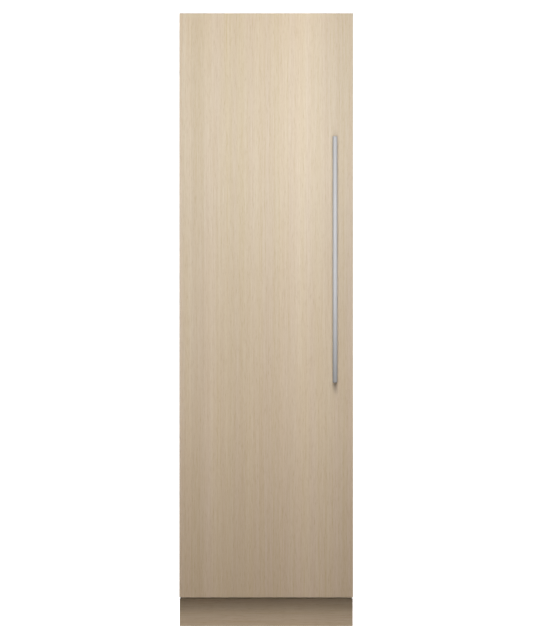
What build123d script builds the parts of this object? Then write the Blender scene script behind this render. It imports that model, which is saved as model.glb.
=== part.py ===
from build123d import *
import os
from math import atan2, cos, degrees, radians, sin

os.makedirs("parts", exist_ok=True)

# Driving sizes in millimetres. X runs right, Y runs back, Z runs up, and the
# origin lies on the floor under the middle of the whole refrigerator.

# Decor panel and its handle
panel_width = 604
panel_height = 2032
panel_thickness = 19
panel_floor_gap = 102
panel_edge_bevel = 1
handle_diameter = 16
handle_length = 857
handle_floor_gap = 849
handle_standoff = 42
handle_side_inset = 63

# Toe kick under the door
toe_kick_side_gap = 0.5
toe_kick_height = 97
toe_kick_thickness = 16
toe_kick_recess = 80
floor_gap = 0.5

# Insulated door behind the panel
door_side_inset = 4
door_depth = 50
door_foot_gap = 44
door_head_gap = 58
door_sheet = 1
door_liner_sheet = 2
seal_gap = 10

# Insulated cabinet
case_side_inset = 3
cabinet_depth = 548
wall_thickness = 46
case_sheet = 1.2
liner_sheet = 2
liner_corner_round = 10
frame_sheet = 3
hinge_plate_gap = 4

# Machine compartment, at the foot of the back
machine_depth = 218
machine_height = 292
base_height = 38

# Layout of the inside
front_line_depth = 120
duct_depth = 60
duct_sheet = 3
lower_drawer_lift = 12
drawer_stack_gap = 36
upper_drawer_lift = 26
upper_drawer_height = 176
cover_gap = 16
pad_height = 8
pad_depth = 30
pad_reach = 10
pad_inset = 24

# General clearances
cut_overrun = 1
seat_gap = 0.3
pin_clearance = 0.05

# Places worked out from the driving sizes
total_depth = (handle_diameter / 2 + handle_standoff + panel_thickness + door_depth
               + seal_gap + cabinet_depth)
handle_y = -total_depth / 2 + handle_diameter / 2
panel_front = handle_y + handle_standoff
panel_back = panel_front + panel_thickness
door_back = panel_back + door_depth
face_y = door_back + seal_gap
rear_y = face_y + cabinet_depth
panel_half = panel_width / 2
panel_top = panel_floor_gap + panel_height
toe_kick_half = panel_half - toe_kick_side_gap
door_half = panel_half - door_side_inset
door_bottom = panel_floor_gap + door_foot_gap
door_top = panel_top - door_head_gap
case_half = panel_half - case_side_inset
cabinet_bottom = door_bottom + hinge_plate_gap
cabinet_top = door_top - hinge_plate_gap
inner_half = case_half - wall_thickness
inner_floor = cabinet_bottom + wall_thickness
inner_ceiling = cabinet_top - wall_thickness
inner_back = rear_y - wall_thickness
machine_front = rear_y - machine_depth
machine_top = base_height + machine_height
hump_front = machine_front - wall_thickness
hump_top = machine_top + wall_thickness
front_line = face_y + front_line_depth
duct_front = inner_back - duct_depth
middle_height = (door_bottom + door_top) / 2
toe_back = panel_front + toe_kick_recess + toe_kick_thickness
lower_drawer_height = hump_top + upper_drawer_lift - drawer_stack_gap - inner_floor - lower_drawer_lift
cover_low = hump_top + upper_drawer_lift + upper_drawer_height + cover_gap


def upright(y):
    """Plane across the refrigerator at depth y, x to the right and y up; extrusions come forward."""
    return Plane.XZ.offset(-y)


def side(x):
    """Plane along the refrigerator at width x, x to the back and y up; extrusions go right."""
    return Plane.YZ.offset(x)


def level(z):
    """Horizontal plane at height z; extrusions go up."""
    return Plane.XY.offset(z)


def window(left, right, low, high, mode=Mode.ADD, corner=0):
    """A rectangle between two limits each way, with round corners if asked, in the sketch being drawn."""
    middle = ((left + right) / 2, (low + high) / 2)
    with Locations(middle):
        if corner:
            RectangleRounded(right - left, high - low, corner, mode=mode)
        else:
            Rectangle(right - left, high - low, mode=mode)


def block(left, right, front, back, low, high, mode=Mode.ADD):
    """A straight block between two limits each way, in the part being built."""
    with Locations((left, front, low)):
        Box(right - left, back - front, high - low, align=(Align.MIN, Align.MIN, Align.MIN), mode=mode)


def save(piece, name):
    """Label a finished piece and write it."""
    piece.part.label = name
    export_step(piece.part, "parts/" + name + ".step")


# Cabinet shell
# The case is one steel sheet folded over the left side, the top and the right side.
with BuildPart() as outer_case:
    with BuildSketch(upright(rear_y)):
        window(-case_half, case_half, base_height, cabinet_top)
        window(-case_half + case_sheet, case_half - case_sheet, base_height,
               cabinet_top - case_sheet, mode=Mode.SUBTRACT)
    extrude(amount=cabinet_depth - frame_sheet)
    block(-case_half, case_half, face_y, toe_back, base_height, panel_floor_gap, mode=Mode.SUBTRACT)
save(outer_case, "outer_case")

# The front frame closes the insulation between the case and the liner, and the seal lands on it.
with BuildPart() as face_frame:
    with BuildSketch(upright(face_y + frame_sheet)):
        window(-case_half, case_half, cabinet_bottom, cabinet_top)
        window(-inner_half, inner_half, inner_floor, inner_ceiling, mode=Mode.SUBTRACT,
               corner=liner_corner_round)
    extrude(amount=frame_sheet)
save(face_frame, "face_frame")


def stepped_outline(front, step, back, low, step_height, high):
    """Side outline of a body whose lower back corner is cut away for the machine compartment."""
    with BuildLine() as outline:
        Polyline((front, low), (step, low), (step, step_height), (back, step_height),
                 (back, high), (front, high), close=True)
    return outline.line


# Space inside the liner, with a step over the machine compartment.
with BuildPart() as liner_space:
    with BuildSketch(side(-inner_half)):
        with BuildLine():
            add(stepped_outline(face_y + frame_sheet, hump_front, inner_back, inner_floor,
                                hump_top, inner_ceiling))
        make_face()
    extrude(amount=2 * inner_half)
    fillet(liner_space.edges().filter_by(Axis.Y).sort_by(Axis.Z)[-2:], liner_corner_round)
    fillet(liner_space.edges().filter_by(Axis.Y).sort_by(Axis.Z)[:2], liner_corner_round)

with BuildPart() as liner_block:
    with BuildSketch(side(-inner_half - liner_sheet)):
        with BuildLine():
            add(stepped_outline(face_y + frame_sheet, hump_front + liner_sheet,
                                inner_back + liner_sheet, inner_floor - liner_sheet,
                                hump_top - liner_sheet, inner_ceiling + liner_sheet))
        make_face()
    extrude(amount=2 * (inner_half + liner_sheet))
    fillet(liner_block.edges().filter_by(Axis.Y).sort_by(Axis.Z)[-2:],
           liner_corner_round + liner_sheet)
    fillet(liner_block.edges().filter_by(Axis.Y).sort_by(Axis.Z)[:2],
           liner_corner_round + liner_sheet)

with BuildPart() as inner_liner:
    add(liner_block.part)
    add(liner_space.part, mode=Mode.SUBTRACT)
    for pad_front in (front_line + pad_inset, duct_front - pad_inset - pad_depth):
        for pad_left in (-inner_half, inner_half - pad_reach):
            block(pad_left, pad_left + pad_reach, pad_front, pad_front + pad_depth,
                  cover_low - pad_height, cover_low)
save(inner_liner, "inner_liner")

# One stepped steel sheet runs under the cabinet, up and over the machine compartment and up the
# back, where it is pressed with upright stiffening beads.
bead_width = 34
bead_depth = 4
bead_count = 3
bead_end_gap = 120


bead_length = cabinet_top - machine_top - 2 * bead_end_gap
bead_centre = (machine_top + cabinet_top) / 2
bead_pitch = 2 * case_half / bead_count


def bead_shapes(width):
    """Upright slots of one width, side by side over the back, in the sketch being drawn."""
    with Locations((0, bead_centre)):
        with GridLocations(bead_pitch, 0, bead_count, 1):
            SlotOverall(bead_length + width, width, rotation=90)


with BuildPart() as back_beads:
    with BuildSketch(upright(rear_y - case_sheet)):
        bead_shapes(bead_width)
    extrude(amount=bead_depth)

with BuildPart() as bead_room:
    with BuildSketch(upright(rear_y - case_sheet)):
        with Locations((0, bead_centre)):
            with GridLocations(bead_pitch, 0, bead_count, 1):
                Rectangle(bead_width, bead_length + bead_width)
    extrude(amount=bead_depth)

with BuildPart() as rear_panel:
    with BuildSketch(side(-case_half + case_sheet)):
        with BuildLine():
            Polyline((face_y + frame_sheet, cabinet_bottom), (machine_front + case_sheet, cabinet_bottom),
                     (machine_front + case_sheet, machine_top), (rear_y, machine_top),
                     (rear_y, cabinet_top - case_sheet), (rear_y - case_sheet, cabinet_top - case_sheet),
                     (rear_y - case_sheet, machine_top + case_sheet),
                     (machine_front, machine_top + case_sheet),
                     (machine_front, cabinet_bottom + case_sheet),
                     (face_y + frame_sheet, cabinet_bottom + case_sheet), close=True)
        make_face()
    extrude(amount=2 * (case_half - case_sheet))
    add(back_beads.part)
    with BuildSketch(upright(rear_y)) as bead_hollows:
        bead_shapes(bead_width - 2 * case_sheet)
    extrude(bead_hollows.sketch, amount=bead_depth, mode=Mode.SUBTRACT)
save(rear_panel, "rear_panel")

with BuildPart() as cabinet_insulation:
    with BuildSketch(side(-case_half + case_sheet)):
        with BuildLine():
            add(stepped_outline(face_y + frame_sheet, machine_front, rear_y - case_sheet,
                                cabinet_bottom + case_sheet, machine_top + case_sheet,
                                cabinet_top - case_sheet))
        make_face()
    extrude(amount=2 * (case_half - case_sheet))
    add(liner_block.part, mode=Mode.SUBTRACT)
    add(bead_room.part, mode=Mode.SUBTRACT)
save(cabinet_insulation, "cabinet_insulation")

# Base frame
# Two channel rails carry the cabinet. The left one is cut down in front for the lower hinge.
rail_width = 32
rail_sheet = 2.5
rail_notch_depth = 150
cross_height = 78
cross_depth = 40
rear_cross_depth = 22
rail_outer = case_half - case_sheet
hinge_stack = 27

foot_stem_radius = 5
foot_pad_radius = 20
foot_pad_height = 9
foot_side_inset = 30
foot_y = toe_back + cross_depth / 2
foot_x = rail_outer - rail_width - foot_side_inset
roller_radius = 18
roller_width = 24
roller_axle_radius = 4
roller_rear_inset = 60
roller_side_inset = 24
roller_y = rear_y - roller_rear_inset
roller_x = rail_outer - rail_width - roller_side_inset
ear_sheet = 3
ear_half = 14
rail_notch_height = cabinet_bottom - hinge_plate_gap - hinge_stack

with BuildPart() as base_frame:
    for outer, web, front_height in ((-rail_outer, rail_sheet, rail_notch_height),
                                     (rail_outer - rail_width, 0, cabinet_bottom)):
        with BuildSketch(side(outer)) as rail:
            window(toe_back, rear_y - case_sheet, base_height, base_height + cross_height)
            window(toe_back, machine_front, base_height, front_height)
            window(face_y + rail_notch_depth, machine_front, base_height, cabinet_bottom)
        extrude(rail.sketch, amount=rail_width)
        hollow_shape = Pos(web, 0, 0) * offset(rail.sketch, amount=-rail_sheet, kind=Kind.INTERSECTION,
                                               mode=Mode.PRIVATE)
        extrude(hollow_shape, amount=rail_width - rail_sheet, mode=Mode.SUBTRACT)
    for front, depth in ((toe_back, cross_depth), (machine_front, rear_cross_depth)):
        block(-rail_outer + rail_width, rail_outer - rail_width, front, front + depth,
              base_height, base_height + cross_height)
        block(-rail_outer + rail_width, rail_outer - rail_width,
              front + rail_sheet, front + depth - rail_sheet,
              base_height + rail_sheet, base_height + cross_height - rail_sheet, mode=Mode.SUBTRACT)
    block(-rail_outer + rail_width, rail_outer - rail_width, machine_front, rear_y - case_sheet,
          base_height, base_height + rail_sheet)
    for centre in (-roller_x, roller_x):
        for ear in (centre - roller_width / 2 - ear_sheet - seat_gap, centre + roller_width / 2 + seat_gap):
            with BuildSketch(side(ear)) as ear_shape:
                window(roller_y - ear_half, roller_y + ear_half, roller_radius - ear_half / 2, base_height)
                with Locations((roller_y, roller_radius)):
                    Circle(roller_axle_radius + pin_clearance, mode=Mode.SUBTRACT)
            extrude(ear_shape.sketch, amount=ear_sheet)
    with BuildSketch(level(base_height - cut_overrun)) as stem_holes:
        with Locations((-foot_x, foot_y), (foot_x, foot_y)):
            Circle(foot_stem_radius + pin_clearance)
    extrude(stem_holes.sketch, amount=cross_height, mode=Mode.SUBTRACT)
save(base_frame, "base_frame")

# Levelling feet and rear rollers
foot_stem_top = base_height + cross_height / 2
for foot_name, foot_side in (("left_foot", -1), ("right_foot", 1)):
    with BuildPart() as foot:
        with BuildSketch(upright(foot_y)) as foot_profile:
            with BuildLine():
                Polyline((0, 0), (foot_pad_radius, 0), (foot_pad_radius, foot_pad_height),
                         (foot_stem_radius, foot_pad_height), (foot_stem_radius, foot_stem_top),
                         (0, foot_stem_top), close=True)
            make_face()
        revolve(foot_profile.sketch, axis=Axis((0, foot_y, 0), (0, 0, 1)))
        with BuildSketch(level(foot_pad_height)) as foot_nut:
            with Locations((0, foot_y)):
                RegularPolygon(foot_stem_radius * 1.8, 6)
        extrude(foot_nut.sketch, amount=foot_pad_height)
    foot.part = Pos(foot_side * foot_x, 0, 0) * foot.part
    foot.part.label = foot_name
    export_step(foot.part, "parts/" + foot_name + ".step")

with BuildPart() as rear_rollers:
    for centre in (-roller_x, roller_x):
        axle_half = roller_width / 2 + seat_gap + ear_sheet
        with BuildSketch(level(roller_radius)) as roller_profile:
            with BuildLine():
                Polyline((centre - axle_half, roller_y), (centre - axle_half, roller_y + roller_axle_radius),
                         (centre - roller_width / 2, roller_y + roller_axle_radius),
                         (centre - roller_width / 2, roller_y + roller_radius),
                         (centre + roller_width / 2, roller_y + roller_radius),
                         (centre + roller_width / 2, roller_y + roller_axle_radius),
                         (centre + axle_half, roller_y + roller_axle_radius),
                         (centre + axle_half, roller_y), close=True)
            make_face()
        revolve(roller_profile.sketch, axis=Axis((0, roller_y, roller_radius), (1, 0, 0)))
save(rear_rollers, "rear_rollers")

# Toe kick board, screwed to the front cross member
with BuildPart() as toe_kick:
    with BuildSketch(upright(toe_back)):
        window(-toe_kick_half, toe_kick_half, floor_gap, floor_gap + toe_kick_height)
    extrude(amount=toe_kick_thickness)
    chamfer(toe_kick.edges().filter_by(Axis.X).group_by(Axis.Y)[0], panel_edge_bevel)
save(toe_kick, "toe_kick")

# Door
panel_screw_radius = 2.5
screw_head_radius = 5
screw_head_depth = 4
counterbore_depth = 6
post_radius = 6
post_inset = 76
handle_x = panel_half - handle_side_inset
handle_radius = handle_diameter / 2
handle_end_bevel = 1.5
post_heights = (handle_floor_gap + post_inset, handle_floor_gap + handle_length - post_inset)

with BuildPart() as door_panel:
    with BuildSketch(upright(panel_back)):
        window(-panel_half, panel_half, panel_floor_gap, panel_top)
    extrude(amount=panel_thickness)
    chamfer(door_panel.faces().sort_by(Axis.Y)[0].edges(), panel_edge_bevel)
    with BuildSketch(upright(panel_back)) as screw_holes:
        for height in post_heights:
            with Locations((handle_x, height)):
                Circle(panel_screw_radius + seat_gap)
    extrude(screw_holes.sketch, amount=panel_thickness, mode=Mode.SUBTRACT)
    with BuildSketch(upright(panel_back)) as screw_recesses:
        for height in post_heights:
            with Locations((handle_x, height)):
                Circle(screw_head_radius + seat_gap * 2)
    extrude(screw_recesses.sketch, amount=counterbore_depth, mode=Mode.SUBTRACT)
save(door_panel, "door_panel")

with BuildPart() as handle_bar:
    with BuildSketch(level(handle_floor_gap)):
        with Locations((handle_x, handle_y)):
            Circle(handle_radius)
    extrude(amount=handle_length)
    chamfer(handle_bar.edges().filter_by(GeomType.CIRCLE), handle_end_bevel)
save(handle_bar, "handle_bar")

# Each post is coped to the round of the bar and bored for its screw.
thread_depth = 18
with BuildPart() as handle_posts:
    with BuildSketch(upright(panel_front)) as post_ends:
        for height in post_heights:
            with Locations((handle_x, height)):
                Circle(post_radius)
    extrude(post_ends.sketch, amount=handle_standoff)
    with BuildSketch(level(handle_floor_gap)) as bar_path:
        with Locations((handle_x, handle_y)):
            Circle(handle_radius)
    extrude(bar_path.sketch, amount=handle_length, mode=Mode.SUBTRACT)
    with BuildSketch(upright(panel_front)) as post_bores:
        for height in post_heights:
            with Locations((handle_x, height)):
                Circle(panel_screw_radius + pin_clearance)
    extrude(post_bores.sketch, amount=thread_depth + cut_overrun, mode=Mode.SUBTRACT)
save(handle_posts, "handle_posts")

with BuildPart() as handle_screws:
    for height in post_heights:
        with BuildSketch(upright(panel_back - counterbore_depth + screw_head_depth)) as heads:
            with Locations((handle_x, height)):
                Circle(screw_head_radius)
                RegularPolygon(screw_head_radius / 2, 6, mode=Mode.SUBTRACT)
        extrude(heads.sketch, amount=screw_head_depth)
        with BuildSketch(upright(panel_back - counterbore_depth + screw_head_depth / 2)) as shanks:
            with Locations((handle_x, height)):
                Circle(panel_screw_radius)
        extrude(shanks.sketch,
                amount=screw_head_depth / 2 + panel_thickness - counterbore_depth + thread_depth)
save(handle_screws, "handle_screws")

# The door skin is a shallow steel tray that holds the foam.
with BuildPart() as door_skin:
    block(-door_half, door_half, panel_back, door_back - door_liner_sheet, door_bottom, door_top)
    tray_floor = door_skin.faces().sort_by(Axis.Y)[-1]
    offset(amount=-door_sheet, openings=tray_floor)
save(door_skin, "door_skin")

with BuildPart() as door_insulation:
    block(-door_half + door_sheet, door_half - door_sheet, panel_back + door_sheet,
          door_back - door_liner_sheet, door_bottom + door_sheet, door_top - door_sheet)
save(door_insulation, "door_insulation")

# Door liner: a plastic sheet with a raised rim round the door bins and lugs that they hang on
rim_side_gap = 15
rim_width = 12
rim_height = 36
rim_foot_gap = 46
rim_head_gap = 40
rim_top = inner_ceiling - rim_head_gap
bin_count = 3
bin_pitch = 400
bin_foot_gap = 50
bin_side_gap = 6
bin_depth = 96
bin_height = 120
bin_wall = 2.5
bin_round = 14
lug_half = 5
lug_top_share = 0.79
lug_y = door_back + bin_depth / 4
rim_bottom = cover_low + rim_foot_gap
bin_floors = [rim_bottom + bin_foot_gap + bin_pitch * number for number in range(bin_count)]
rim_half = inner_half - rim_side_gap
rim_inner = rim_half - rim_width
bin_half = rim_inner - bin_side_gap
lug_tops = [floor + bin_height * lug_top_share for floor in bin_floors]
lug_reach = rim_inner - bin_half - seat_gap
with BuildPart() as door_liner:
    block(-door_half, door_half, door_back - door_liner_sheet, door_back, door_bottom, door_top)
    with BuildSketch(upright(door_back)) as rim:
        window(-rim_half, rim_half, rim_bottom, rim_top, corner=bin_round + rim_width)
        window(-rim_inner, rim_inner, rim_bottom + rim_width, rim_top - rim_width,
               mode=Mode.SUBTRACT, corner=bin_round)
    extrude(rim.sketch, amount=-rim_height)
    for lug_left in (-rim_inner, rim_inner - lug_reach):
        for lug_top in lug_tops:
            block(lug_left, lug_left + lug_reach, lug_y - lug_half, lug_y + lug_half,
                  lug_top - 2 * lug_half, lug_top)
save(door_liner, "door_liner")

# Magnetic seal, a soft vinyl ring that stops just short of the front frame at rest
seal_edge_inset = 27
seal_width = 13
seal_shut_gap = 1.2
seal_depth = seal_gap - seal_shut_gap
seal_outer = case_half - seal_edge_inset
with BuildPart() as door_gasket:
    with BuildSketch(upright(door_back + seal_depth)) as seal_ring:
        window(-seal_outer, seal_outer, cabinet_bottom + seal_edge_inset, cabinet_top - seal_edge_inset,
               corner=seal_width)
        window(-seal_outer + seal_width, seal_outer - seal_width,
               cabinet_bottom + seal_edge_inset + seal_width,
               cabinet_top - seal_edge_inset - seal_width, mode=Mode.SUBTRACT, corner=seal_width / 4)
    extrude(seal_ring.sketch, amount=seal_depth)
save(door_gasket, "door_gasket")

# Panel brackets: angles screwed to the head and the foot of the door, behind the panel
bracket_width = 50
bracket_sheet = 3
bracket_foot = 30
bracket_height = 36
bracket_shares = (-0.2, 0.1, 0.4)
with BuildPart() as panel_brackets:
    for share in bracket_shares:
        middle = share * panel_width
        block(middle - bracket_width / 2, middle + bracket_width / 2, panel_back,
              panel_back + bracket_sheet, door_top, door_top + bracket_height)
        block(middle - bracket_width / 2, middle + bracket_width / 2, panel_back,
              panel_back + bracket_foot, door_top, door_top + bracket_sheet)
    mirror(about=level(middle_height))
save(panel_brackets, "panel_brackets")

# Articulated hinge
# At each corner two arms of unlike length join the cabinet to the door, so the door edge is
# carried forward while it swings and never leaves its own width. Seen from above the arms turn
# on the pivots below, given from the hinge edge of the panel and from the front of the cabinet.
door_swing = 110
main_root_inset = 42.5
root_depth = -46
main_tip_inset = 46.8
main_tip_depth = 43.5
control_tip_inset = 78.8
control_tip_depth = 63.5
main_arm_gain = 1.192
door_plate_sheet = 4
main_arm_sheet = 6
control_arm_sheet = 5
cabinet_plate_sheet = 5
layer_gap = 1
eye_radius = 10
pin_radius = 5
control_pin_radius = 4

main_root = Vector(-panel_half + main_root_inset, face_y + root_depth)
main_tip = Vector(-panel_half + main_tip_inset, face_y + main_tip_depth)
control_tip = Vector(-panel_half + control_tip_inset, face_y + control_tip_depth)


def swung(point, centre, angle):
    """A point turned clockwise, seen from above, round a centre."""
    turn = radians(angle)
    away = point - centre
    return centre + Vector(away.X * cos(turn) + away.Y * sin(turn),
                           away.Y * cos(turn) - away.X * sin(turn))


# The control arm's root is the point in line with the main root that is as far from the control
# tip when the door is shut as when it is wide open.
main_tip_open = swung(main_tip, main_root, main_arm_gain * door_swing)
control_tip_open = main_tip_open + swung(control_tip - main_tip, Vector(0, 0), door_swing)
chord = control_tip_open - control_tip
chord_middle = (control_tip_open + control_tip) * 0.5
root_run = (main_root.Y - chord_middle.Y) / chord.X
control_root = Vector(chord_middle.X - chord.Y * root_run, main_root.Y)
start_angle = atan2(control_tip.Y - control_root.Y, control_tip.X - control_root.X)
end_angle = atan2(control_tip_open.Y - control_root.Y, control_tip_open.X - control_root.X)
control_arm_gain = degrees(start_angle - end_angle) / door_swing
print("control arm gain", round(control_arm_gain, 4), "its root", control_root.X, control_root.Y)

door_plate_top = door_top + door_plate_sheet
main_arm_low = door_plate_top + layer_gap
main_arm_high = main_arm_low + main_arm_sheet
control_arm_low = main_arm_high + layer_gap
control_arm_high = control_arm_low + control_arm_sheet
cabinet_plate_low = control_arm_high + layer_gap
cabinet_plate_high = cabinet_plate_low + cabinet_plate_sheet
plate_front_inset = 12
plate_side_inset = 16
plate_far_inset = 96
riser_setback = 90
riser_front = face_y + riser_setback
riser_depth = 44
plate_screw_radius = 2.6


def arm_outline(root, tip):
    """Flat outline of an arm, with a round eye at each end, in the sketch being drawn."""
    with Locations((root.X, root.Y), (tip.X, tip.Y)):
        Circle(eye_radius)
    make_hull()


with BuildPart() as upper_main_arm:
    with BuildSketch(level(main_arm_low)):
        arm_outline(main_root, main_tip)
        with Locations((main_root.X, main_root.Y), (main_tip.X, main_tip.Y)):
            Circle(pin_radius + pin_clearance, mode=Mode.SUBTRACT)
    extrude(amount=main_arm_sheet)
save(upper_main_arm, "upper_main_arm")

with BuildPart() as upper_control_arm:
    with BuildSketch(level(control_arm_low)):
        arm_outline(control_root, control_tip)
        with Locations((control_root.X, control_root.Y)):
            Circle(control_pin_radius + pin_clearance, mode=Mode.SUBTRACT)
    extrude(amount=control_arm_sheet)
    with BuildSketch(level(door_plate_top + seat_gap)) as control_pin:
        with Locations((control_tip.X, control_tip.Y)):
            Circle(control_pin_radius)
    extrude(control_pin.sketch, amount=control_arm_low - door_plate_top - seat_gap)
save(upper_control_arm, "upper_control_arm")

door_plate_corners = ((-panel_half + plate_side_inset, door_back - plate_front_inset),
                      (-panel_half + plate_side_inset, panel_back + 2 * plate_front_inset),
                      (-panel_half + plate_far_inset, panel_back + 2 * plate_front_inset))
with BuildPart() as upper_door_plate:
    with BuildSketch(level(door_top)):
        with Locations(*door_plate_corners, (main_tip.X, main_tip.Y), (control_tip.X, control_tip.Y)):
            Circle(plate_front_inset)
        make_hull()
        with Locations(*door_plate_corners):
            Circle(plate_screw_radius, mode=Mode.SUBTRACT)
    extrude(amount=door_plate_sheet)
    with BuildSketch(level(door_plate_top)) as door_pin:
        with Locations((main_tip.X, main_tip.Y)):
            Circle(pin_radius)
    extrude(door_pin.sketch, amount=main_arm_high - door_plate_top)
save(upper_door_plate, "upper_door_plate")

plate_right = -panel_half + plate_far_inset + plate_front_inset
with BuildPart() as upper_hinge_plate:
    with BuildSketch(level(cabinet_plate_low)):
        with Locations((main_root.X, main_root.Y), (control_root.X, control_root.Y),
                       (main_root.X, riser_front - eye_radius),
                       (plate_right - eye_radius, riser_front - eye_radius)):
            Circle(eye_radius)
        make_hull()
        window(main_root.X - eye_radius, plate_right,
               riser_front - eye_radius, riser_front + cabinet_plate_sheet)
    extrude(amount=cabinet_plate_sheet)
    block(main_root.X - eye_radius, plate_right, riser_front, riser_front + cabinet_plate_sheet,
          cabinet_top, cabinet_plate_high)
    block(main_root.X - eye_radius, plate_right, riser_front, riser_front + riser_depth,
          cabinet_top, cabinet_top + cabinet_plate_sheet)
    with BuildSketch(level(cabinet_top)) as plate_screws:
        with Locations((main_root.X + eye_radius, riser_front + riser_depth / 2),
                       (plate_right - 2 * eye_radius, riser_front + riser_depth / 2)):
            Circle(plate_screw_radius)
    extrude(plate_screws.sketch, amount=cabinet_plate_sheet, mode=Mode.SUBTRACT)
    with BuildSketch(level(main_arm_low)) as main_pin:
        with Locations((main_root.X, main_root.Y)):
            Circle(pin_radius)
    extrude(main_pin.sketch, amount=cabinet_plate_low - main_arm_low)
    with BuildSketch(level(control_arm_low)) as root_pin:
        with Locations((control_root.X, control_root.Y)):
            Circle(control_pin_radius)
    extrude(root_pin.sketch, amount=cabinet_plate_low - control_arm_low)
save(upper_hinge_plate, "upper_hinge_plate")

# The lower hinge is the upper one mirrored about the middle of the door.
for upper, lower_name in ((upper_main_arm, "lower_main_arm"), (upper_control_arm, "lower_control_arm"),
                          (upper_door_plate, "lower_door_plate"), (upper_hinge_plate, "lower_hinge_plate")):
    with BuildPart() as lower:
        mirror(upper.part, about=level(middle_height))
    save(lower, lower_name)


# A fan blade's outline widens from its root inside the hub to its shoulders and narrows to its tip.
blade_root_share = 0.8
blade_shoulder_share = 0.86
root_chord_share = 0.3
front_chord_share = 0.5
back_chord_share = 0.4
tip_chord_share = 0.2
hub_bevel_share = 0.2


def fan_rotor(centre, hub_radius, tip_radius, depth, blades, pitch, blade_sheet):
    """A propeller on a Y axis through the centre: a hub and pressed blades set at an angle."""
    chord = depth / sin(radians(pitch))
    root_run = hub_radius * blade_root_share
    shoulder_run = tip_radius * blade_shoulder_share
    with BuildPart() as rotor:
        with BuildSketch(Plane.XZ):
            Circle(hub_radius)
        extrude(amount=depth / 2, both=True)
        chamfer(rotor.edges().sort_by(Axis.Y)[0], hub_radius * hub_bevel_share)
        with BuildSketch(Plane.XZ.rotated((pitch, 0, 0))) as blade_outline:
            with BuildLine():
                Polyline((root_run, -chord * root_chord_share), (shoulder_run, -chord * front_chord_share),
                         (tip_radius, -chord * tip_chord_share), (tip_radius, chord * tip_chord_share),
                         (shoulder_run, chord * back_chord_share), (root_run, chord * root_chord_share),
                         close=True)
            make_face()
        blade = extrude(blade_outline.sketch, amount=blade_sheet / 2, both=True, mode=Mode.PRIVATE)
        for number in range(blades):
            add(blade.rotate(Axis.Y, number * 360 / blades))
    return Pos(centre[0], centre[1], centre[2]) * rotor.part


def fan_frame(centre, half, bore_radius, depth, wall, motor_radius):
    """A square fan frame open along Y, with a motor held on four struts at its back."""
    with BuildPart() as frame:
        with BuildSketch(Plane.XZ):
            Rectangle(2 * half, 2 * half)
            Circle(bore_radius, mode=Mode.SUBTRACT)
        extrude(amount=depth / 2, both=True)
        with BuildSketch(Plane.XZ.offset(-depth / 2)) as back:
            with PolarLocations(0, 2, start_angle=45):
                Rectangle(2 * bore_radius + wall, wall * 2)
            Circle(motor_radius)
        extrude(back.sketch, amount=wall)
        with BuildSketch(Plane.XZ.offset(-depth / 2)) as motor:
            Circle(motor_radius)
        extrude(motor.sketch, amount=depth / 2)
    return Pos(centre[0], centre[1], centre[2]) * frame.part


# Coils
coil_tube_radius = 4
coil_fin_sheet = 2
coil_fin_reach = 5
coil_fins = 12
coil_rows = 4
bend_share = 2 - 2 ** 0.5


def fin_coil(left, right, front, back, low, high):
    """A coil: a pack of upright fins and one tube that runs to and fro through it, with bends of
    eight-sided run. Real fins stand 2 mm apart, so between the few that stand proud the pack is a block."""
    pitch = (high - low) / coil_rows
    turn = pitch / 2
    bevel = turn * bend_share
    middle = (front + back) / 2
    with BuildPart() as coil:
        block(left, right, front + coil_fin_reach, back - coil_fin_reach,
              low + coil_fin_reach, high - coil_fin_reach)
        for number in range(coil_fins):
            fin_left = left + (right - left - coil_fin_sheet) * number / (coil_fins - 1)
            block(fin_left, fin_left + coil_fin_sheet, front, back, low, high)
        for row in range(coil_rows - 1):
            end, way = ((right, 1), (left, -1))[row % 2]
            centre = low + pitch * (row + 0.5)
            with BuildLine() as bend:
                Polyline((end - way * turn, middle, centre),
                         (end + way * (turn - bevel), middle, centre),
                         (end + way * turn, middle, centre + bevel),
                         (end + way * turn, middle, centre + pitch - bevel),
                         (end + way * (turn - bevel), middle, centre + pitch),
                         (end - way * turn, middle, centre + pitch))
            with BuildSketch(side(end - way * turn)) as tube:
                with Locations((middle, centre)):
                    Circle(coil_tube_radius)
            sweep(tube.sketch, path=bend.line, transition=Transition.RIGHT)
    return coil.part


# Machine compartment
coil_side_gap = 46
coil_width = 200
coil_depth = 44
coil_height = 210
coil_rear_gap = 26
coil_drain_gap = 10
drain_height = 26
drain_wall = 2
drain_margin = 10
tray_top = base_height + rail_sheet
coil_left = rail_outer - rail_width - coil_side_gap - coil_width
coil_back = rear_y - coil_rear_gap
coil_low = tray_top + drain_height + coil_drain_gap
tube_y = coil_back - coil_depth / 2
tube_high = coil_low + coil_height * (coil_rows - 0.5) / coil_rows

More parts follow.
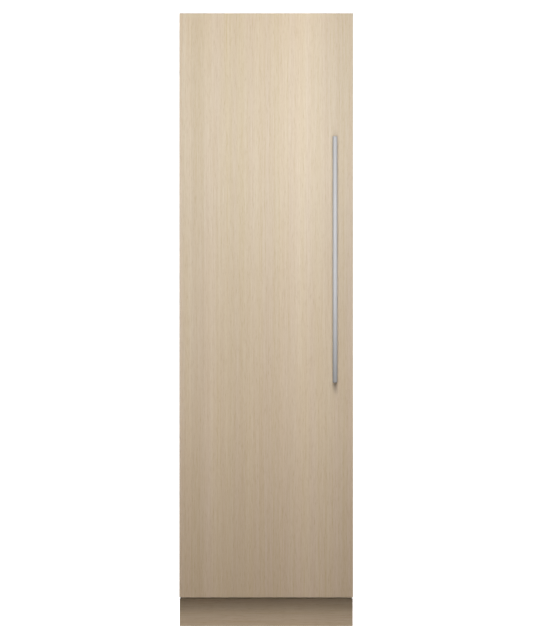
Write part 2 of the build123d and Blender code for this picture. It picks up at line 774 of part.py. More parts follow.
# The compressor is two domed shells welded at a lip, on a pressed plate with rubber grommets.
compressor_radius = 76
compressor_height = 168
compressor_side_gap = 143
compressor_x = -rail_outer + compressor_side_gap
compressor_y = machine_front + machine_depth / 2
shell_lip = 4
shell_lip_height = 8
mount_height = 16
mount_radius = 12
mount_sheet = 3
mount_span = 190
mount_depth = 150
plate_low = tray_top + mount_height
compressor_low = plate_low + mount_sheet / 2
stub_radius = 5
stub_height = 14
dome_share = 0.16
seam_share = 0.55
heel_share = 0.8
shoulder_share = 0.88
shoulder_drop = 0.4
crown_share = 0.5
terminal_half = 23
terminal_reach = 19
suction_stub = (-compressor_radius / 2, -compressor_radius / 3)
discharge_stub = (compressor_radius / 4, tube_y - compressor_y)
with BuildPart() as compressor:
    seam = compressor_low + compressor_height * seam_share
    dome = compressor_height * dome_share
    shell_high = compressor_low + compressor_height
    upper_radius = compressor_radius - shell_lip / 2
    with BuildSketch(upright(0)) as shell_profile:
        with BuildLine():
            Polyline((0, compressor_low), (compressor_radius * heel_share, compressor_low),
                     (compressor_radius, compressor_low + dome / 2), (compressor_radius, seam),
                     (compressor_radius + shell_lip, seam),
                     (compressor_radius + shell_lip, seam + shell_lip_height),
                     (upper_radius, seam + shell_lip_height), (upper_radius, shell_high - dome),
                     (upper_radius * shoulder_share, shell_high - dome * shoulder_drop),
                     (upper_radius * crown_share, shell_high), (0, shell_high), close=True)
        make_face()
    revolve(shell_profile.sketch, axis=Axis.Z)
    with BuildSketch(level(plate_low)) as foot_plate:
        RectangleRounded(mount_span, mount_depth, mount_radius)
    extrude(foot_plate.sketch, amount=mount_sheet)
    with BuildSketch(level(tray_top)) as grommets:
        with GridLocations(mount_span - 2 * mount_radius, mount_depth - 2 * mount_radius, 2, 2):
            Circle(mount_radius * 0.8)
    extrude(grommets.sketch, amount=mount_height + mount_sheet / 2)
    block(-terminal_half, terminal_half, compressor_radius * 0.7, compressor_radius + terminal_reach,
          compressor_low + compressor_height * 0.2, seam - shell_lip)
    for stub in (suction_stub, discharge_stub):
        with Locations((stub[0], stub[1], compressor_low + compressor_height * 0.8)):
            Cylinder(stub_radius, compressor_height * 0.2 + stub_height,
                     align=(Align.CENTER, Align.CENTER, Align.MIN))
compressor.part = Pos(compressor_x, compressor_y, 0) * compressor.part
save(compressor, "compressor")

# The condenser stands on its two end fins in the pan that catches the defrost water.
with BuildPart() as condenser:
    add(fin_coil(coil_left, coil_left + coil_width, coil_back - coil_depth, coil_back, coil_low,
                 coil_low + coil_height))
    for foot_left in (coil_left, coil_left + coil_width - coil_fin_sheet):
        block(foot_left, foot_left + coil_fin_sheet, coil_back - coil_depth, coil_back,
              tray_top + drain_wall, coil_low)
save(condenser, "condenser")

with BuildPart() as drain_pan:
    block(coil_left - drain_margin, coil_left + coil_width + drain_margin,
          coil_back - coil_depth - drain_margin, coil_back + drain_margin,
          tray_top, tray_top + drain_height)
    fillet(drain_pan.edges().filter_by(Axis.Z), drain_margin)
    offset(amount=-drain_wall, openings=drain_pan.faces().sort_by(Axis.Z)[-1])
save(drain_pan, "drain_pan")

fan_half = 70
fan_bore = 64
fan_depth = 34
fan_wall = 4
fan_gap = 8
hub_share = 0.3
fan_x = coil_left + coil_width / 2
fan_y = coil_back - coil_depth - drain_margin - fan_gap - fan_depth / 2
fan_z = tray_top + fan_half
with BuildPart() as condenser_fan_frame:
    add(fan_frame((fan_x, fan_y, fan_z), fan_half, fan_bore, fan_depth, fan_wall,
                  fan_bore * hub_share))
save(condenser_fan_frame, "condenser_fan_frame")

blade_sheet = 1.6
rotor_depth = 12
rotor_gap = 4
rotor_seat = 0.3
blade_count = 5
blade_pitch = 28
with BuildPart() as condenser_fan:
    add(fan_rotor((fan_x, fan_y - rotor_depth / 2 - rotor_seat, fan_z), fan_bore * hub_share,
                  fan_bore - rotor_gap, rotor_depth, blade_count, blade_pitch, blade_sheet))
save(condenser_fan, "condenser_fan")

# Copper pipes: one to the condenser and one back from the insulated cabinet
pipe_radius = 3.2
pipe_bevel = 12
stub_top = compressor_low + compressor_height + stub_height
discharge_x = compressor_x + discharge_stub[0]
suction_x = compressor_x + suction_stub[0]
suction_y = compressor_y + suction_stub[1]
with BuildPart() as refrigerant_pipes:
    for start_x, start_y, bend_x, bend_y, end_x, end_y in (
            (discharge_x, tube_y, discharge_x + pipe_bevel, tube_y, coil_left, tube_y),
            (suction_x, suction_y, suction_x, suction_y - pipe_bevel, suction_x, machine_front + case_sheet)):
        with BuildLine() as run:
            Polyline((start_x, start_y, stub_top), (start_x, start_y, tube_high - pipe_bevel),
                     (bend_x, bend_y, tube_high), (end_x, end_y, tube_high))
        with BuildSketch(level(stub_top)) as pipe_section:
            with Locations((start_x, start_y)):
                Circle(pipe_radius)
        sweep(pipe_section.sketch, path=run.line, transition=Transition.RIGHT)
save(refrigerant_pipes, "refrigerant_pipes")

louvre_rows = 7
louvre_columns = 3
louvre_margin = 49
louvre_gap = 24
louvre_height = 8
louvre_pitch = 24
louvre_width = (2 * (rail_outer - louvre_margin) + louvre_gap) / louvre_columns - louvre_gap
inlet_width = 46
inlet_height = 34
inlet_depth = 28
inlet_side_gap = 69
inlet_x = -case_half + inlet_side_gap
inlet_z = 90
gland_radius = 4.5
gland_depth = 14
cover_hole_gap = 5
with BuildPart() as machine_cover:
    with BuildSketch(upright(rear_y)):
        window(-rail_outer, rail_outer, base_height, machine_top)
        with Locations((0, (base_height + machine_top) / 2 + louvre_height)):
            with GridLocations(louvre_width + louvre_gap, louvre_pitch, louvre_columns, louvre_rows):
                Rectangle(louvre_width, louvre_height, mode=Mode.SUBTRACT)
        with Locations((inlet_x, inlet_z)):
            Circle(gland_radius + cover_hole_gap, mode=Mode.SUBTRACT)
    extrude(amount=case_sheet)
save(machine_cover, "machine_cover")

# Inlet box for the supply cable, behind a hole in the machine cover
with BuildPart() as power_inlet:
    block(inlet_x - inlet_width / 2, inlet_x + inlet_width / 2, rear_y - case_sheet - inlet_depth,
          rear_y - case_sheet, inlet_z - inlet_height / 2, inlet_z + inlet_height / 2)
    fillet(power_inlet.edges().filter_by(Axis.Y), inlet_height / 10)
    with BuildSketch(upright(rear_y - case_sheet)) as gland_bore:
        with Locations((inlet_x, inlet_z)):
            Circle(gland_radius)
    extrude(gland_bore.sketch, amount=gland_depth, mode=Mode.SUBTRACT)
save(power_inlet, "power_inlet")

# Air duct behind the shelves
outlet_width = 62
outlet_height = 9
outlet_x = 95
outlet_pitch = 350
outlet_rows = 4
return_count = 12
return_height = 60
return_width = 8
return_pitch = 32
grille_radius = 50
grille_bar = 8
grille_bars = 7
evaporator_lift = 74
evaporator_height = 210
evaporator_half = 165
evaporator_fan_gap = 130
evaporator_fan_half = 58
evaporator_bore = 52
evaporator_fan_depth = 30
outlet_gap = 210
evaporator_low = hump_top + evaporator_lift
evaporator_fan_z = evaporator_low + evaporator_height + evaporator_fan_gap
evaporator_fan_y = duct_front + duct_sheet + evaporator_fan_depth / 2
first_outlet = evaporator_fan_z + outlet_gap
duct_half = inner_half - seat_gap
with BuildPart() as air_duct_cover:
    block(-duct_half, duct_half, duct_front, inner_back - seat_gap, hump_top + seat_gap,
          inner_ceiling - seat_gap)
    fillet(air_duct_cover.edges().filter_by(Axis.Y), liner_corner_round)
    offset(amount=-duct_sheet, openings=air_duct_cover.faces().sort_by(Axis.Y)[-1])
    with BuildSketch(upright(duct_front + duct_sheet)) as outlets:
        for row in range(outlet_rows):
            outlet_z = first_outlet + row * outlet_pitch
            with Locations((-outlet_x, outlet_z), (outlet_x, outlet_z)):
                with GridLocations(0, 2 * outlet_height, 1, 2):
                    Rectangle(outlet_width, outlet_height)
        with Locations((0, hump_top + return_height)):
            with GridLocations(return_pitch, 0, return_count, 1):
                Rectangle(return_width, return_height)
        with Locations((0, evaporator_fan_z)):
            Circle(grille_radius)
            with GridLocations(0, 2 * grille_bar, 1, grille_bars):
                Rectangle(2 * grille_radius, grille_bar, mode=Mode.SUBTRACT)
    extrude(outlets.sketch, amount=duct_sheet + cut_overrun, mode=Mode.SUBTRACT)
    add(fan_frame((0, evaporator_fan_y, evaporator_fan_z), evaporator_fan_half,
                  evaporator_bore, evaporator_fan_depth, duct_sheet, evaporator_bore * hub_share))
save(air_duct_cover, "air_duct_cover")

with BuildPart() as evaporator_fan:
    add(fan_rotor((0, evaporator_fan_y - rotor_depth / 2 - rotor_seat, evaporator_fan_z),
                  evaporator_bore * hub_share, evaporator_bore - rotor_gap, rotor_depth, blade_count,
                  blade_pitch, blade_sheet))
save(evaporator_fan, "evaporator_fan")

evaporator_depth = 40
evaporator_back_gap = 6
evaporator_back = inner_back - evaporator_back_gap
with BuildPart() as evaporator:
    add(fin_coil(-evaporator_half, evaporator_half, evaporator_back - evaporator_depth, evaporator_back,
                 evaporator_low, evaporator_low + evaporator_height))
    for strap in (-evaporator_half * 0.75, evaporator_half * 0.75):
        block(strap - mount_radius, strap + mount_radius, evaporator_back - coil_fin_sheet, inner_back,
              evaporator_low + evaporator_height / 2, evaporator_low + evaporator_height + 2 * mount_radius)
save(evaporator, "evaporator")

# Slotted uprights that carry the cantilever shelves
upright_x = 150
upright_width = 18
upright_depth = 12
upright_sheet = 1.5
upright_foot_gap = 46
upright_head_gap = 66
slot_width = 4
slot_height = 24
slot_pitch = 50
slot_first = 40
upright_low = cover_low + upright_foot_gap
upright_high = inner_ceiling - upright_head_gap
slot_count = int((upright_high - upright_low - 2 * slot_first) / slot_pitch) + 1
upright_front = duct_front - upright_depth
with BuildPart() as shelf_uprights:
    with BuildSketch(level(upright_low)) as channel:
        for x in (-upright_x, upright_x):
            window(x - upright_width / 2, x + upright_width / 2, upright_front, duct_front)
            window(x - upright_width / 2 + upright_sheet, x + upright_width / 2 - upright_sheet,
                   upright_front + upright_sheet, duct_front, mode=Mode.SUBTRACT)
    extrude(channel.sketch, amount=upright_high - upright_low)
    with BuildSketch(upright(upright_front + upright_sheet + cut_overrun)) as slots:
        for x in (-upright_x, upright_x):
            for number in range(slot_count):
                low = upright_low + slot_first + number * slot_pitch
                window(x - slot_width / 2, x + slot_width / 2, low, low + slot_height)
    extrude(slots.sketch, amount=upright_sheet + 2 * cut_overrun, mode=Mode.SUBTRACT)
save(shelf_uprights, "shelf_uprights")

# Cantilever glass shelves
shelf_side_gap = 10
shelf_rim = 3
shelf_rim_height = 13
shelf_ledge = 9
shelf_ledge_sheet = 2
glass_sheet = 5
glass_gap = 0.4
bracket_plate = 2.5
hook_neck = 14
hook_drop = 8
hook_sheet = 3
bracket_drop = 84
bracket_nose = 16
shelf_slots = (4, 11, 18)
shelf_names = ("lower", "middle", "upper")
shelf_half = inner_half - shelf_side_gap
shelf_back = upright_front - seat_gap
hook_front = upright_front + upright_sheet + seat_gap
for shelf_name, slot_number in zip(shelf_names, shelf_slots):
    hook_low = upright_low + slot_first + slot_number * slot_pitch + seat_gap
    glass_low = hook_low + hook_neck + slot_pitch
    with BuildPart() as shelf_frame:
        block(-shelf_half, shelf_half, front_line, shelf_back, glass_low - shelf_ledge_sheet,
              glass_low - shelf_ledge_sheet + shelf_rim_height)
        fillet(shelf_frame.edges().filter_by(Axis.Z).group_by(Axis.Y)[0], shelf_rim * 2)
        block(-shelf_half + shelf_rim, shelf_half - shelf_rim, front_line + shelf_rim, shelf_back - shelf_rim,
              glass_low, glass_low + shelf_rim_height, mode=Mode.SUBTRACT)
        block(-shelf_half + shelf_rim + shelf_ledge, shelf_half - shelf_rim - shelf_ledge,
              front_line + shelf_rim + shelf_ledge, shelf_back - shelf_rim - shelf_ledge,
              glass_low - shelf_ledge_sheet - cut_overrun, glass_low + cut_overrun, mode=Mode.SUBTRACT)
        for x in (-upright_x, upright_x):
            with BuildSketch(side(x - bracket_plate / 2)) as bracket:
                with BuildLine():
                    Polyline((front_line + shelf_rim, glass_low - shelf_ledge_sheet),
                             (front_line + shelf_rim, glass_low - bracket_nose),
                             (shelf_back - bracket_drop / 2, glass_low - bracket_drop),
                             (shelf_back, glass_low - bracket_drop),
                             (shelf_back, glass_low - shelf_ledge_sheet), close=True)
                make_face()
                window(front_line + shelf_rim + shelf_ledge, shelf_back - shelf_rim - shelf_ledge,
                       glass_low - 2 * shelf_ledge_sheet, glass_low)
                for hook in (hook_low, hook_low + slot_pitch):
                    window(shelf_back, hook_front + hook_sheet, hook, hook + hook_neck)
                    window(hook_front, hook_front + hook_sheet, hook - hook_drop, hook + hook_neck)
            extrude(bracket.sketch, amount=bracket_plate)
    save(shelf_frame, shelf_name + "_shelf_frame")
    with BuildPart() as shelf_glass:
        block(-shelf_half + shelf_rim + glass_gap, shelf_half - shelf_rim - glass_gap,
              front_line + shelf_rim + glass_gap, shelf_back - shelf_rim - glass_gap,
              glass_low, glass_low + glass_sheet)
        chamfer(shelf_glass.edges().group_by(Axis.Z)[-1], glass_sheet / 6)
    save(shelf_glass, shelf_name + "_shelf_glass")

# Door bins: moulded trays that hang on the lugs of the door liner by a hood on each side
bin_names = ("lower", "middle", "upper")
bin_front = door_back + seat_gap
bin_back = bin_front + bin_depth
hood_wall = 2.2
hood_length = 24
hood_half = lug_half + seat_gap + hood_wall
for bin_name, floor, lug_top in zip(bin_names, bin_floors, lug_tops):
    with BuildPart() as door_bin:
        with BuildSketch(level(floor)):
            window(-bin_half, bin_half, bin_front, bin_back, corner=bin_round)
        extrude(amount=bin_height)
        chamfer(door_bin.edges().group_by(Axis.Z)[0], bin_wall * 2)
        offset(amount=-bin_wall, openings=door_bin.faces().sort_by(Axis.Z)[-1])
        with BuildSketch(side(-bin_half)) as hood:
            window(lug_y - hood_half, lug_y + hood_half, lug_top - hood_length, lug_top + seat_gap + hood_wall)
            window(lug_y - lug_half - seat_gap, lug_y + lug_half + seat_gap,
                   lug_top - hood_length, lug_top + seat_gap, mode=Mode.SUBTRACT)
        extrude(hood.sketch, amount=-lug_reach)
        extrude(hood.sketch.moved(Location((2 * bin_half, 0, 0))), amount=lug_reach)
    save(door_bin, bin_name + "_door_bin")

# Drawers on telescopic slides
drawer_side_gap = 14
drawer_wall = 3
drawer_round = 10
drawer_names = ("lower", "upper")
lower_drawer_back_gap = 14
upper_drawer_back_gap = 8
drawer_lows = (inner_floor + lower_drawer_lift, hump_top + upper_drawer_lift)
drawer_heights = (lower_drawer_height, upper_drawer_height)
drawer_backs = (hump_front - lower_drawer_back_gap, duct_front - upper_drawer_back_gap)
rail_height = 34
groove_height = 14
groove_depth = 1.5
groove_gap = 0.4
drawer_half = inner_half - drawer_side_gap
slide_plate = (drawer_side_gap - 3 * groove_gap) / 2
slide_inset_share = 0.08
slide_inset = (drawer_backs[0] - front_line) * slide_inset_share
slide_height_share = 0.62
with BuildPart() as drawer_rails:
    for low, high, back in zip(drawer_lows, drawer_heights, drawer_backs):
        rail_z = low + high * slide_height_share
        for edge, reach in ((-inner_half, 1), (inner_half, -1)):
            inner_edge = edge + reach * slide_plate
            block(min(edge, inner_edge), max(edge, inner_edge), front_line + slide_inset, back - slide_inset,
                  rail_z - rail_height / 2, rail_z + rail_height / 2)
            groove_edge = inner_edge - reach * groove_depth
            block(min(groove_edge, inner_edge), max(groove_edge, inner_edge), front_line + slide_inset,
                  back - 2 * slide_inset, rail_z - groove_height / 2, rail_z + groove_height / 2,
                  mode=Mode.SUBTRACT)
save(drawer_rails, "drawer_rails")

for drawer_name, low, high, back in zip(drawer_names, drawer_lows, drawer_heights, drawer_backs):
    rail_z = low + high * slide_height_share
    tongue_low = rail_z - groove_height / 2 + groove_gap
    tongue_high = rail_z + groove_height / 2 - groove_gap
    with BuildPart() as drawer_slides:
        for edge, reach in ((-inner_half, 1), (inner_half, -1)):
            outer_edge = edge + reach * (slide_plate + groove_gap)
            inner_edge = edge + reach * (2 * slide_plate + groove_gap)
            tongue_edge = outer_edge - reach * groove_depth
            block(min(outer_edge, inner_edge), max(outer_edge, inner_edge), front_line + slide_inset,
                  back - 3 * slide_inset, rail_z - rail_height / 2, rail_z + rail_height / 2)
            block(min(outer_edge, tongue_edge), max(outer_edge, tongue_edge), front_line + slide_inset,
                  back - 3 * slide_inset, tongue_low, tongue_high)
            groove_edge = inner_edge - reach * groove_depth
            block(min(groove_edge, inner_edge), max(groove_edge, inner_edge), front_line + slide_inset,
                  back - 3 * slide_inset, rail_z - groove_height / 2, rail_z + groove_height / 2,
                  mode=Mode.SUBTRACT)
    save(drawer_slides, drawer_name + "_drawer_slides")
    with BuildPart() as drawer:
        with BuildSketch(level(low)):
            window(-drawer_half, drawer_half, front_line, back)
        extrude(amount=high)
        fillet(drawer.edges().filter_by(Axis.Z), drawer_round)
        chamfer(drawer.edges().group_by(Axis.Z)[0], drawer_round / 2)
        offset(amount=-drawer_wall, openings=drawer.faces().sort_by(Axis.Z)[-1])
        for edge, reach in ((-drawer_half, -1), (drawer_half, 1)):
            tongue_edge = edge + reach * (groove_gap + groove_depth - groove_gap / 2)
            block(min(edge, tongue_edge), max(edge, tongue_edge), front_line + drawer_round + slide_inset,
                  back - 3 * slide_inset, tongue_low, tongue_high)
    save(drawer, drawer_name + "_drawer")

# Glass cover over the drawers, carried by ledge pads on the liner walls
cover_half = inner_half - 2 * seat_gap
with BuildPart() as crisper_cover:
    block(-cover_half, cover_half, front_line, duct_front - seat_gap, cover_low, cover_low + glass_sheet)
    fillet(crisper_cover.edges().filter_by(Axis.Z).group_by(Axis.Y)[0], glass_sheet)
    chamfer(crisper_cover.faces().sort_by(Axis.Z)[-1].edges(), glass_sheet / 6)
save(crisper_cover, "crisper_cover")

# Ceiling light: a flat lens in a shallow tray
light_half = 150
light_depth = 60
light_sheet = 9
light_setback = 60
light_front = front_line + light_setback
with BuildPart() as ceiling_light:
    block(-light_half, light_half, light_front, light_front + light_depth,
          inner_ceiling - light_sheet, inner_ceiling)
    fillet(ceiling_light.edges().filter_by(Axis.Z), light_sheet)
    chamfer(ceiling_light.edges().group_by(Axis.Z)[0], light_sheet / 3)
save(ceiling_light, "ceiling_light")

# Control panel under the front of the ceiling, with a push button and a rocker
control_half = 110
control_setback = 18
control_depth = 64
control_height = 30
control_lean = 10
control_corner = 6
button_x = -70
button_radius = 7
button_length = 9
button_reach = 2.5
button_travel = 1.5
rocker_x = 30
rocker_half = 24
rocker_height = 14
rocker_reach = 3
rocker_body = 8
rocker_pin_radius = 1.5
control_front = face_y + control_setback
control_low = inner_ceiling - control_height
control_z = inner_ceiling - control_height / 2
with BuildPart() as control_panel:
    with BuildSketch(side(-control_half)):
        with BuildLine():
            Polyline((control_front, inner_ceiling), (control_front, control_low),
                     (control_front + control_depth - control_lean, control_low),
                     (control_front + control_depth, inner_ceiling), close=True)
        make_face()
    extrude(amount=2 * control_half)
    fillet(control_panel.edges().filter_by(Axis.X).group_by(Axis.Z)[0], control_corner / 2)
    with BuildSketch(upright(control_front + button_length + button_travel)) as button_hole:
        with Locations((button_x, control_z)):
            Circle(button_radius + seat_gap)
    extrude(button_hole.sketch, amount=button_length + button_travel + cut_overrun, mode=Mode.SUBTRACT)
    with BuildSketch(upright(control_front + rocker_body + rocker_reach)) as rocker_hole:
        window(rocker_x - rocker_half - 2 * seat_gap, rocker_x + rocker_half + 2 * seat_gap,
               control_z - rocker_height / 2 - seat_gap, control_z + rocker_height / 2 + seat_gap)
    extrude(rocker_hole.sketch, amount=rocker_body + rocker_reach + cut_overrun, mode=Mode.SUBTRACT)
    with BuildSketch(level(control_z - rocker_height / 2 - control_corner / 2)) as rocker_bore:
        with Locations((rocker_x, control_front + rocker_body / 2)):
            Circle(rocker_pin_radius + pin_clearance)
    extrude(rocker_bore.sketch, amount=rocker_height + control_corner, mode=Mode.SUBTRACT)
save(control_panel, "control_panel")

with BuildPart() as power_button:
    with BuildSketch(upright(control_front + button_length - button_travel)):
        with Locations((button_x, control_z)):
            Circle(button_radius)
    extrude(amount=button_length - button_travel + button_reach)
save(power_button, "power_button")

with BuildPart() as temperature_rocker:
    with BuildSketch(level(control_z - rocker_height / 2)):
        with BuildLine():
            Polyline((rocker_x - rocker_half, control_front - rocker_reach),
                     (rocker_x, control_front - rocker_reach / 4),
                     (rocker_x + rocker_half, control_front - rocker_reach),
                     (rocker_x + rocker_half, control_front + rocker_body / 2),
                     (rocker_x, control_front + rocker_body),
                     (rocker_x - rocker_half, control_front + rocker_body / 2), close=True)
        make_face()
    extrude(amount=rocker_height)
    with BuildSketch(level(control_z - rocker_height / 2 - control_corner / 2)) as rocker_pin:
        with Locations((rocker_x, control_front + rocker_body / 2)):
            Circle(rocker_pin_radius)
    extrude(rocker_pin.sketch, amount=rocker_height + control_corner)
save(temperature_rocker, "temperature_rocker")

# Electronics box on the top and the bracket that ties the refrigerator to the wall
box_half = 200
box_setback = 170
box_depth = 190
box_height = 46
box_wall = 1.5
box_corner = 12
box_bevel = 6
vent_width = 60
vent_height = 6
vent_columns = 4
vent_rows = 2
box_front = face_y + box_setback
with BuildPart() as box_space:
    block(-box_half + box_wall, box_half - box_wall, box_front + box_wall, box_front + box_depth - box_wall,
          cabinet_top, cabinet_top + box_height - box_wall)
    chamfer(box_space.edges().filter_by(Axis.Z), box_corner - box_wall)
    chamfer(box_space.edges().group_by(Axis.Z)[-1], box_bevel)

with BuildPart() as top_cover:
    block(-box_half, box_half, box_front, box_front + box_depth, cabinet_top, cabinet_top + box_height)
    chamfer(top_cover.edges().filter_by(Axis.Z), box_corner)
    chamfer(top_cover.edges().group_by(Axis.Z)[-1], box_bevel)
    add(box_space.part, mode=Mode.SUBTRACT)
    with BuildSketch(upright(box_front + box_depth / 2)) as vents:
        with Locations((0, cabinet_top + box_height / 2)):
            with GridLocations(vent_width * 1.5, 2 * vent_height, vent_columns, vent_rows):
                Rectangle(vent_width, vent_height)
    extrude(vents.sketch, amount=box_depth, mode=Mode.SUBTRACT)
save(top_cover, "top_cover")

tie_half = 80
tie_sheet = 3
tie_depth = 60
tie_height = 52
tie_hole_radius = 3.5
tie_hole_span = 100
with BuildPart() as anti_tip_bracket:
    block(-tie_half, tie_half, rear_y - tie_depth, rear_y, cabinet_top, cabinet_top + tie_sheet)
    block(-tie_half, tie_half, rear_y - tie_sheet, rear_y, cabinet_top, cabinet_top + tie_height)
    with BuildSketch(upright(rear_y)) as wall_holes:
        with Locations((0, cabinet_top + tie_height / 2 + tie_sheet)):
            with GridLocations(tie_hole_span, 0, 2, 1):
                Circle(tie_hole_radius)
    extrude(wall_holes.sketch, amount=tie_sheet, mode=Mode.SUBTRACT)
    with BuildSketch(level(cabinet_top)) as top_holes:
        with Locations((0, rear_y - tie_depth / 2 - tie_sheet)):
            with GridLocations(tie_hole_span, 0, 2, 1):
                Circle(plate_screw_radius)
    extrude(top_holes.sketch, amount=tie_sheet, mode=Mode.SUBTRACT)
save(anti_tip_bracket, "anti_tip_bracket")
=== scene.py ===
from math import pi, radians

import bmesh
import bpy
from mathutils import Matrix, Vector


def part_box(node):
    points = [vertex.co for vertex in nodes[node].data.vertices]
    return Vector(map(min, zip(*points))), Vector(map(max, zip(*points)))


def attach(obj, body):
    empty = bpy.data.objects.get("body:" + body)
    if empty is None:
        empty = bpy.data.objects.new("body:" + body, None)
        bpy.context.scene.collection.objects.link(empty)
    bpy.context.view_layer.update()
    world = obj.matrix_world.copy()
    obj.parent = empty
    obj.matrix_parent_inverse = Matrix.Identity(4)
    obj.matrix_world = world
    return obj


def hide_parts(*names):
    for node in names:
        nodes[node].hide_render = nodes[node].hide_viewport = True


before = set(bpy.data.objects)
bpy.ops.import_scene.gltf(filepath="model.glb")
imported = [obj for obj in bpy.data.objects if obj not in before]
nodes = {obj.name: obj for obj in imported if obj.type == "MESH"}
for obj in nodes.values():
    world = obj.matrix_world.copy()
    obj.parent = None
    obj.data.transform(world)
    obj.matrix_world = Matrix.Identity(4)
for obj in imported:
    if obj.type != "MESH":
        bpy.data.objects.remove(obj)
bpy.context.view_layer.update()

bpy.ops.object.select_all(action="DESELECT")

# Studio
# A product shot, square on to the door, against pure white, on a pale floor. Three soft boxes stand in
# front, a little right of the middle and strongest at the door's upper half, so that it darkens
# downwards. Weaker ones at the sides, above and behind show the rest of the part.
PANEL_LOW, PANEL_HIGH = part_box("door_panel")
PIXEL = 0.003478
PICTURE_ROWS = 639
PANEL_TOP_PIXEL = 13.2
LENS = 1200
SENSOR = 36
CAMERA_X = 0.001
camera_height = PANEL_HIGH.z - (PICTURE_ROWS / 2 - PANEL_TOP_PIXEL) * PIXEL
camera_distance = PICTURE_ROWS * PIXEL * LENS / SENSOR

bpy.ops.object.camera_add(location=(CAMERA_X, PANEL_LOW.y - camera_distance, camera_height),
                          rotation=(radians(90), 0, 0))
camera = bpy.context.object
camera.data.lens = LENS
camera.data.sensor_width = SENSOR
camera.data.clip_end = 100
bpy.context.scene.camera = camera
bpy.context.scene.view_settings.view_transform = "Standard"


def soft_light(name, place, target, width, height, power, colour=(1.0, 1.0, 1.0)):
    """A rectangular soft box at a place, turned to face a target."""
    bpy.ops.object.light_add(type="AREA", location=place)
    light = bpy.context.object
    light.name = name
    light.rotation_euler = (Vector(target) - Vector(place)).to_track_quat("-Z", "Y").to_euler()
    light.data.shape = "RECTANGLE"
    light.data.size = width
    light.data.size_y = height
    light.data.energy = power
    light.data.color = colour


FRONT_COLOUR = (1.0, 0.995, 1.0)
soft_light("head_light", (0.2, -1.3, 1.75), (0.1, -0.3, 1.65),
           width=0.4, height=0.4, power=2.2, colour=FRONT_COLOUR)
soft_light("front_light", (0.2, -2.6, 2.11), (0.1, -0.3, 2.11),
           width=0.5, height=1.9, power=45.4, colour=FRONT_COLOUR)
soft_light("low_light", (0.2, -2.6, 0.64), (0.1, -0.3, 0.64),
           width=0.5, height=1.14, power=8.9, colour=FRONT_COLOUR)
for way in (-1, 1):
    soft_light("side_light", (way * 3.2, 0.4, 1.6), (0, 0.3, 1.1), width=1.6, height=2.2, power=25)
soft_light("top_light", (0, 0.6, 3.7), (0, 0.2, 2.1), width=1.4, height=1.4, power=14)
soft_light("back_light", (0.8, 3.4, 1.7), (0, 0.3, 1.1), width=2.0, height=2.2, power=30)

# White all round for the camera and in reflections, and only a little of it for plain light
world = bpy.data.worlds.new("white_backdrop")
world.use_nodes = True
bpy.context.scene.world = world
world_tree = world.node_tree
dim_sky = world_tree.nodes["Background"]
dim_sky.inputs["Color"].default_value = (1, 1, 1, 1)
dim_sky.inputs["Strength"].default_value = 0.01
last_sky = dim_sky
for ray, strength in (("Is Glossy Ray", 0.6), ("Is Camera Ray", 1.3)):
    bright_sky = world_tree.nodes.new("ShaderNodeBackground")
    bright_sky.inputs["Color"].default_value = (1, 1, 1, 1)
    bright_sky.inputs["Strength"].default_value = strength
    rays = world_tree.nodes.new("ShaderNodeLightPath")
    sky_mix = world_tree.nodes.new("ShaderNodeMixShader")
    world_tree.links.new(rays.outputs[ray], sky_mix.inputs[0])
    world_tree.links.new(last_sky.outputs[0], sky_mix.inputs[1])
    world_tree.links.new(bright_sky.outputs[0], sky_mix.inputs[2])
    last_sky = sky_mix
world_tree.links.new(last_sky.outputs[0], world_tree.nodes["World Output"].inputs[0])

FLOOR_SIZE = 14
FLOOR_DROP = 0.001
bpy.ops.mesh.primitive_plane_add(size=FLOOR_SIZE, location=(0, 0, -FLOOR_DROP))
floor = bpy.context.object
floor.name = "studio_floor"
floor_paint = bpy.data.materials.new("pale_floor")
floor_paint.use_nodes = True
floor_tree = floor_paint.node_tree
floor_shader = floor_tree.nodes["Principled BSDF"]
floor_shader.inputs["Base Color"].default_value = (0.45, 0.44, 0.42, 1)
floor_shader.inputs["Roughness"].default_value = 0.9
floor_glow = floor_tree.nodes.new("ShaderNodeEmission")
floor_glow.inputs["Strength"].default_value = 1.5
floor_rays = floor_tree.nodes.new("ShaderNodeLightPath")
floor_sum = floor_tree.nodes.new("ShaderNodeAddShader")
floor_mix = floor_tree.nodes.new("ShaderNodeMixShader")
floor_tree.links.new(floor_shader.outputs[0], floor_sum.inputs[0])
floor_tree.links.new(floor_glow.outputs[0], floor_sum.inputs[1])
floor_tree.links.new(floor_rays.outputs["Is Camera Ray"], floor_mix.inputs[0])
floor_tree.links.new(floor_shader.outputs[0], floor_mix.inputs[1])
floor_tree.links.new(floor_sum.outputs[0], floor_mix.inputs[2])
floor_tree.links.new(floor_mix.outputs[0], floor_tree.nodes["Material Output"].inputs[0])
floor.data.materials.append(floor_paint)

# Cabinet case
# A grey powder-painted steel sheet folded over both sides and the top. The paint has the fine
# orange-peel surface that powder leaves.


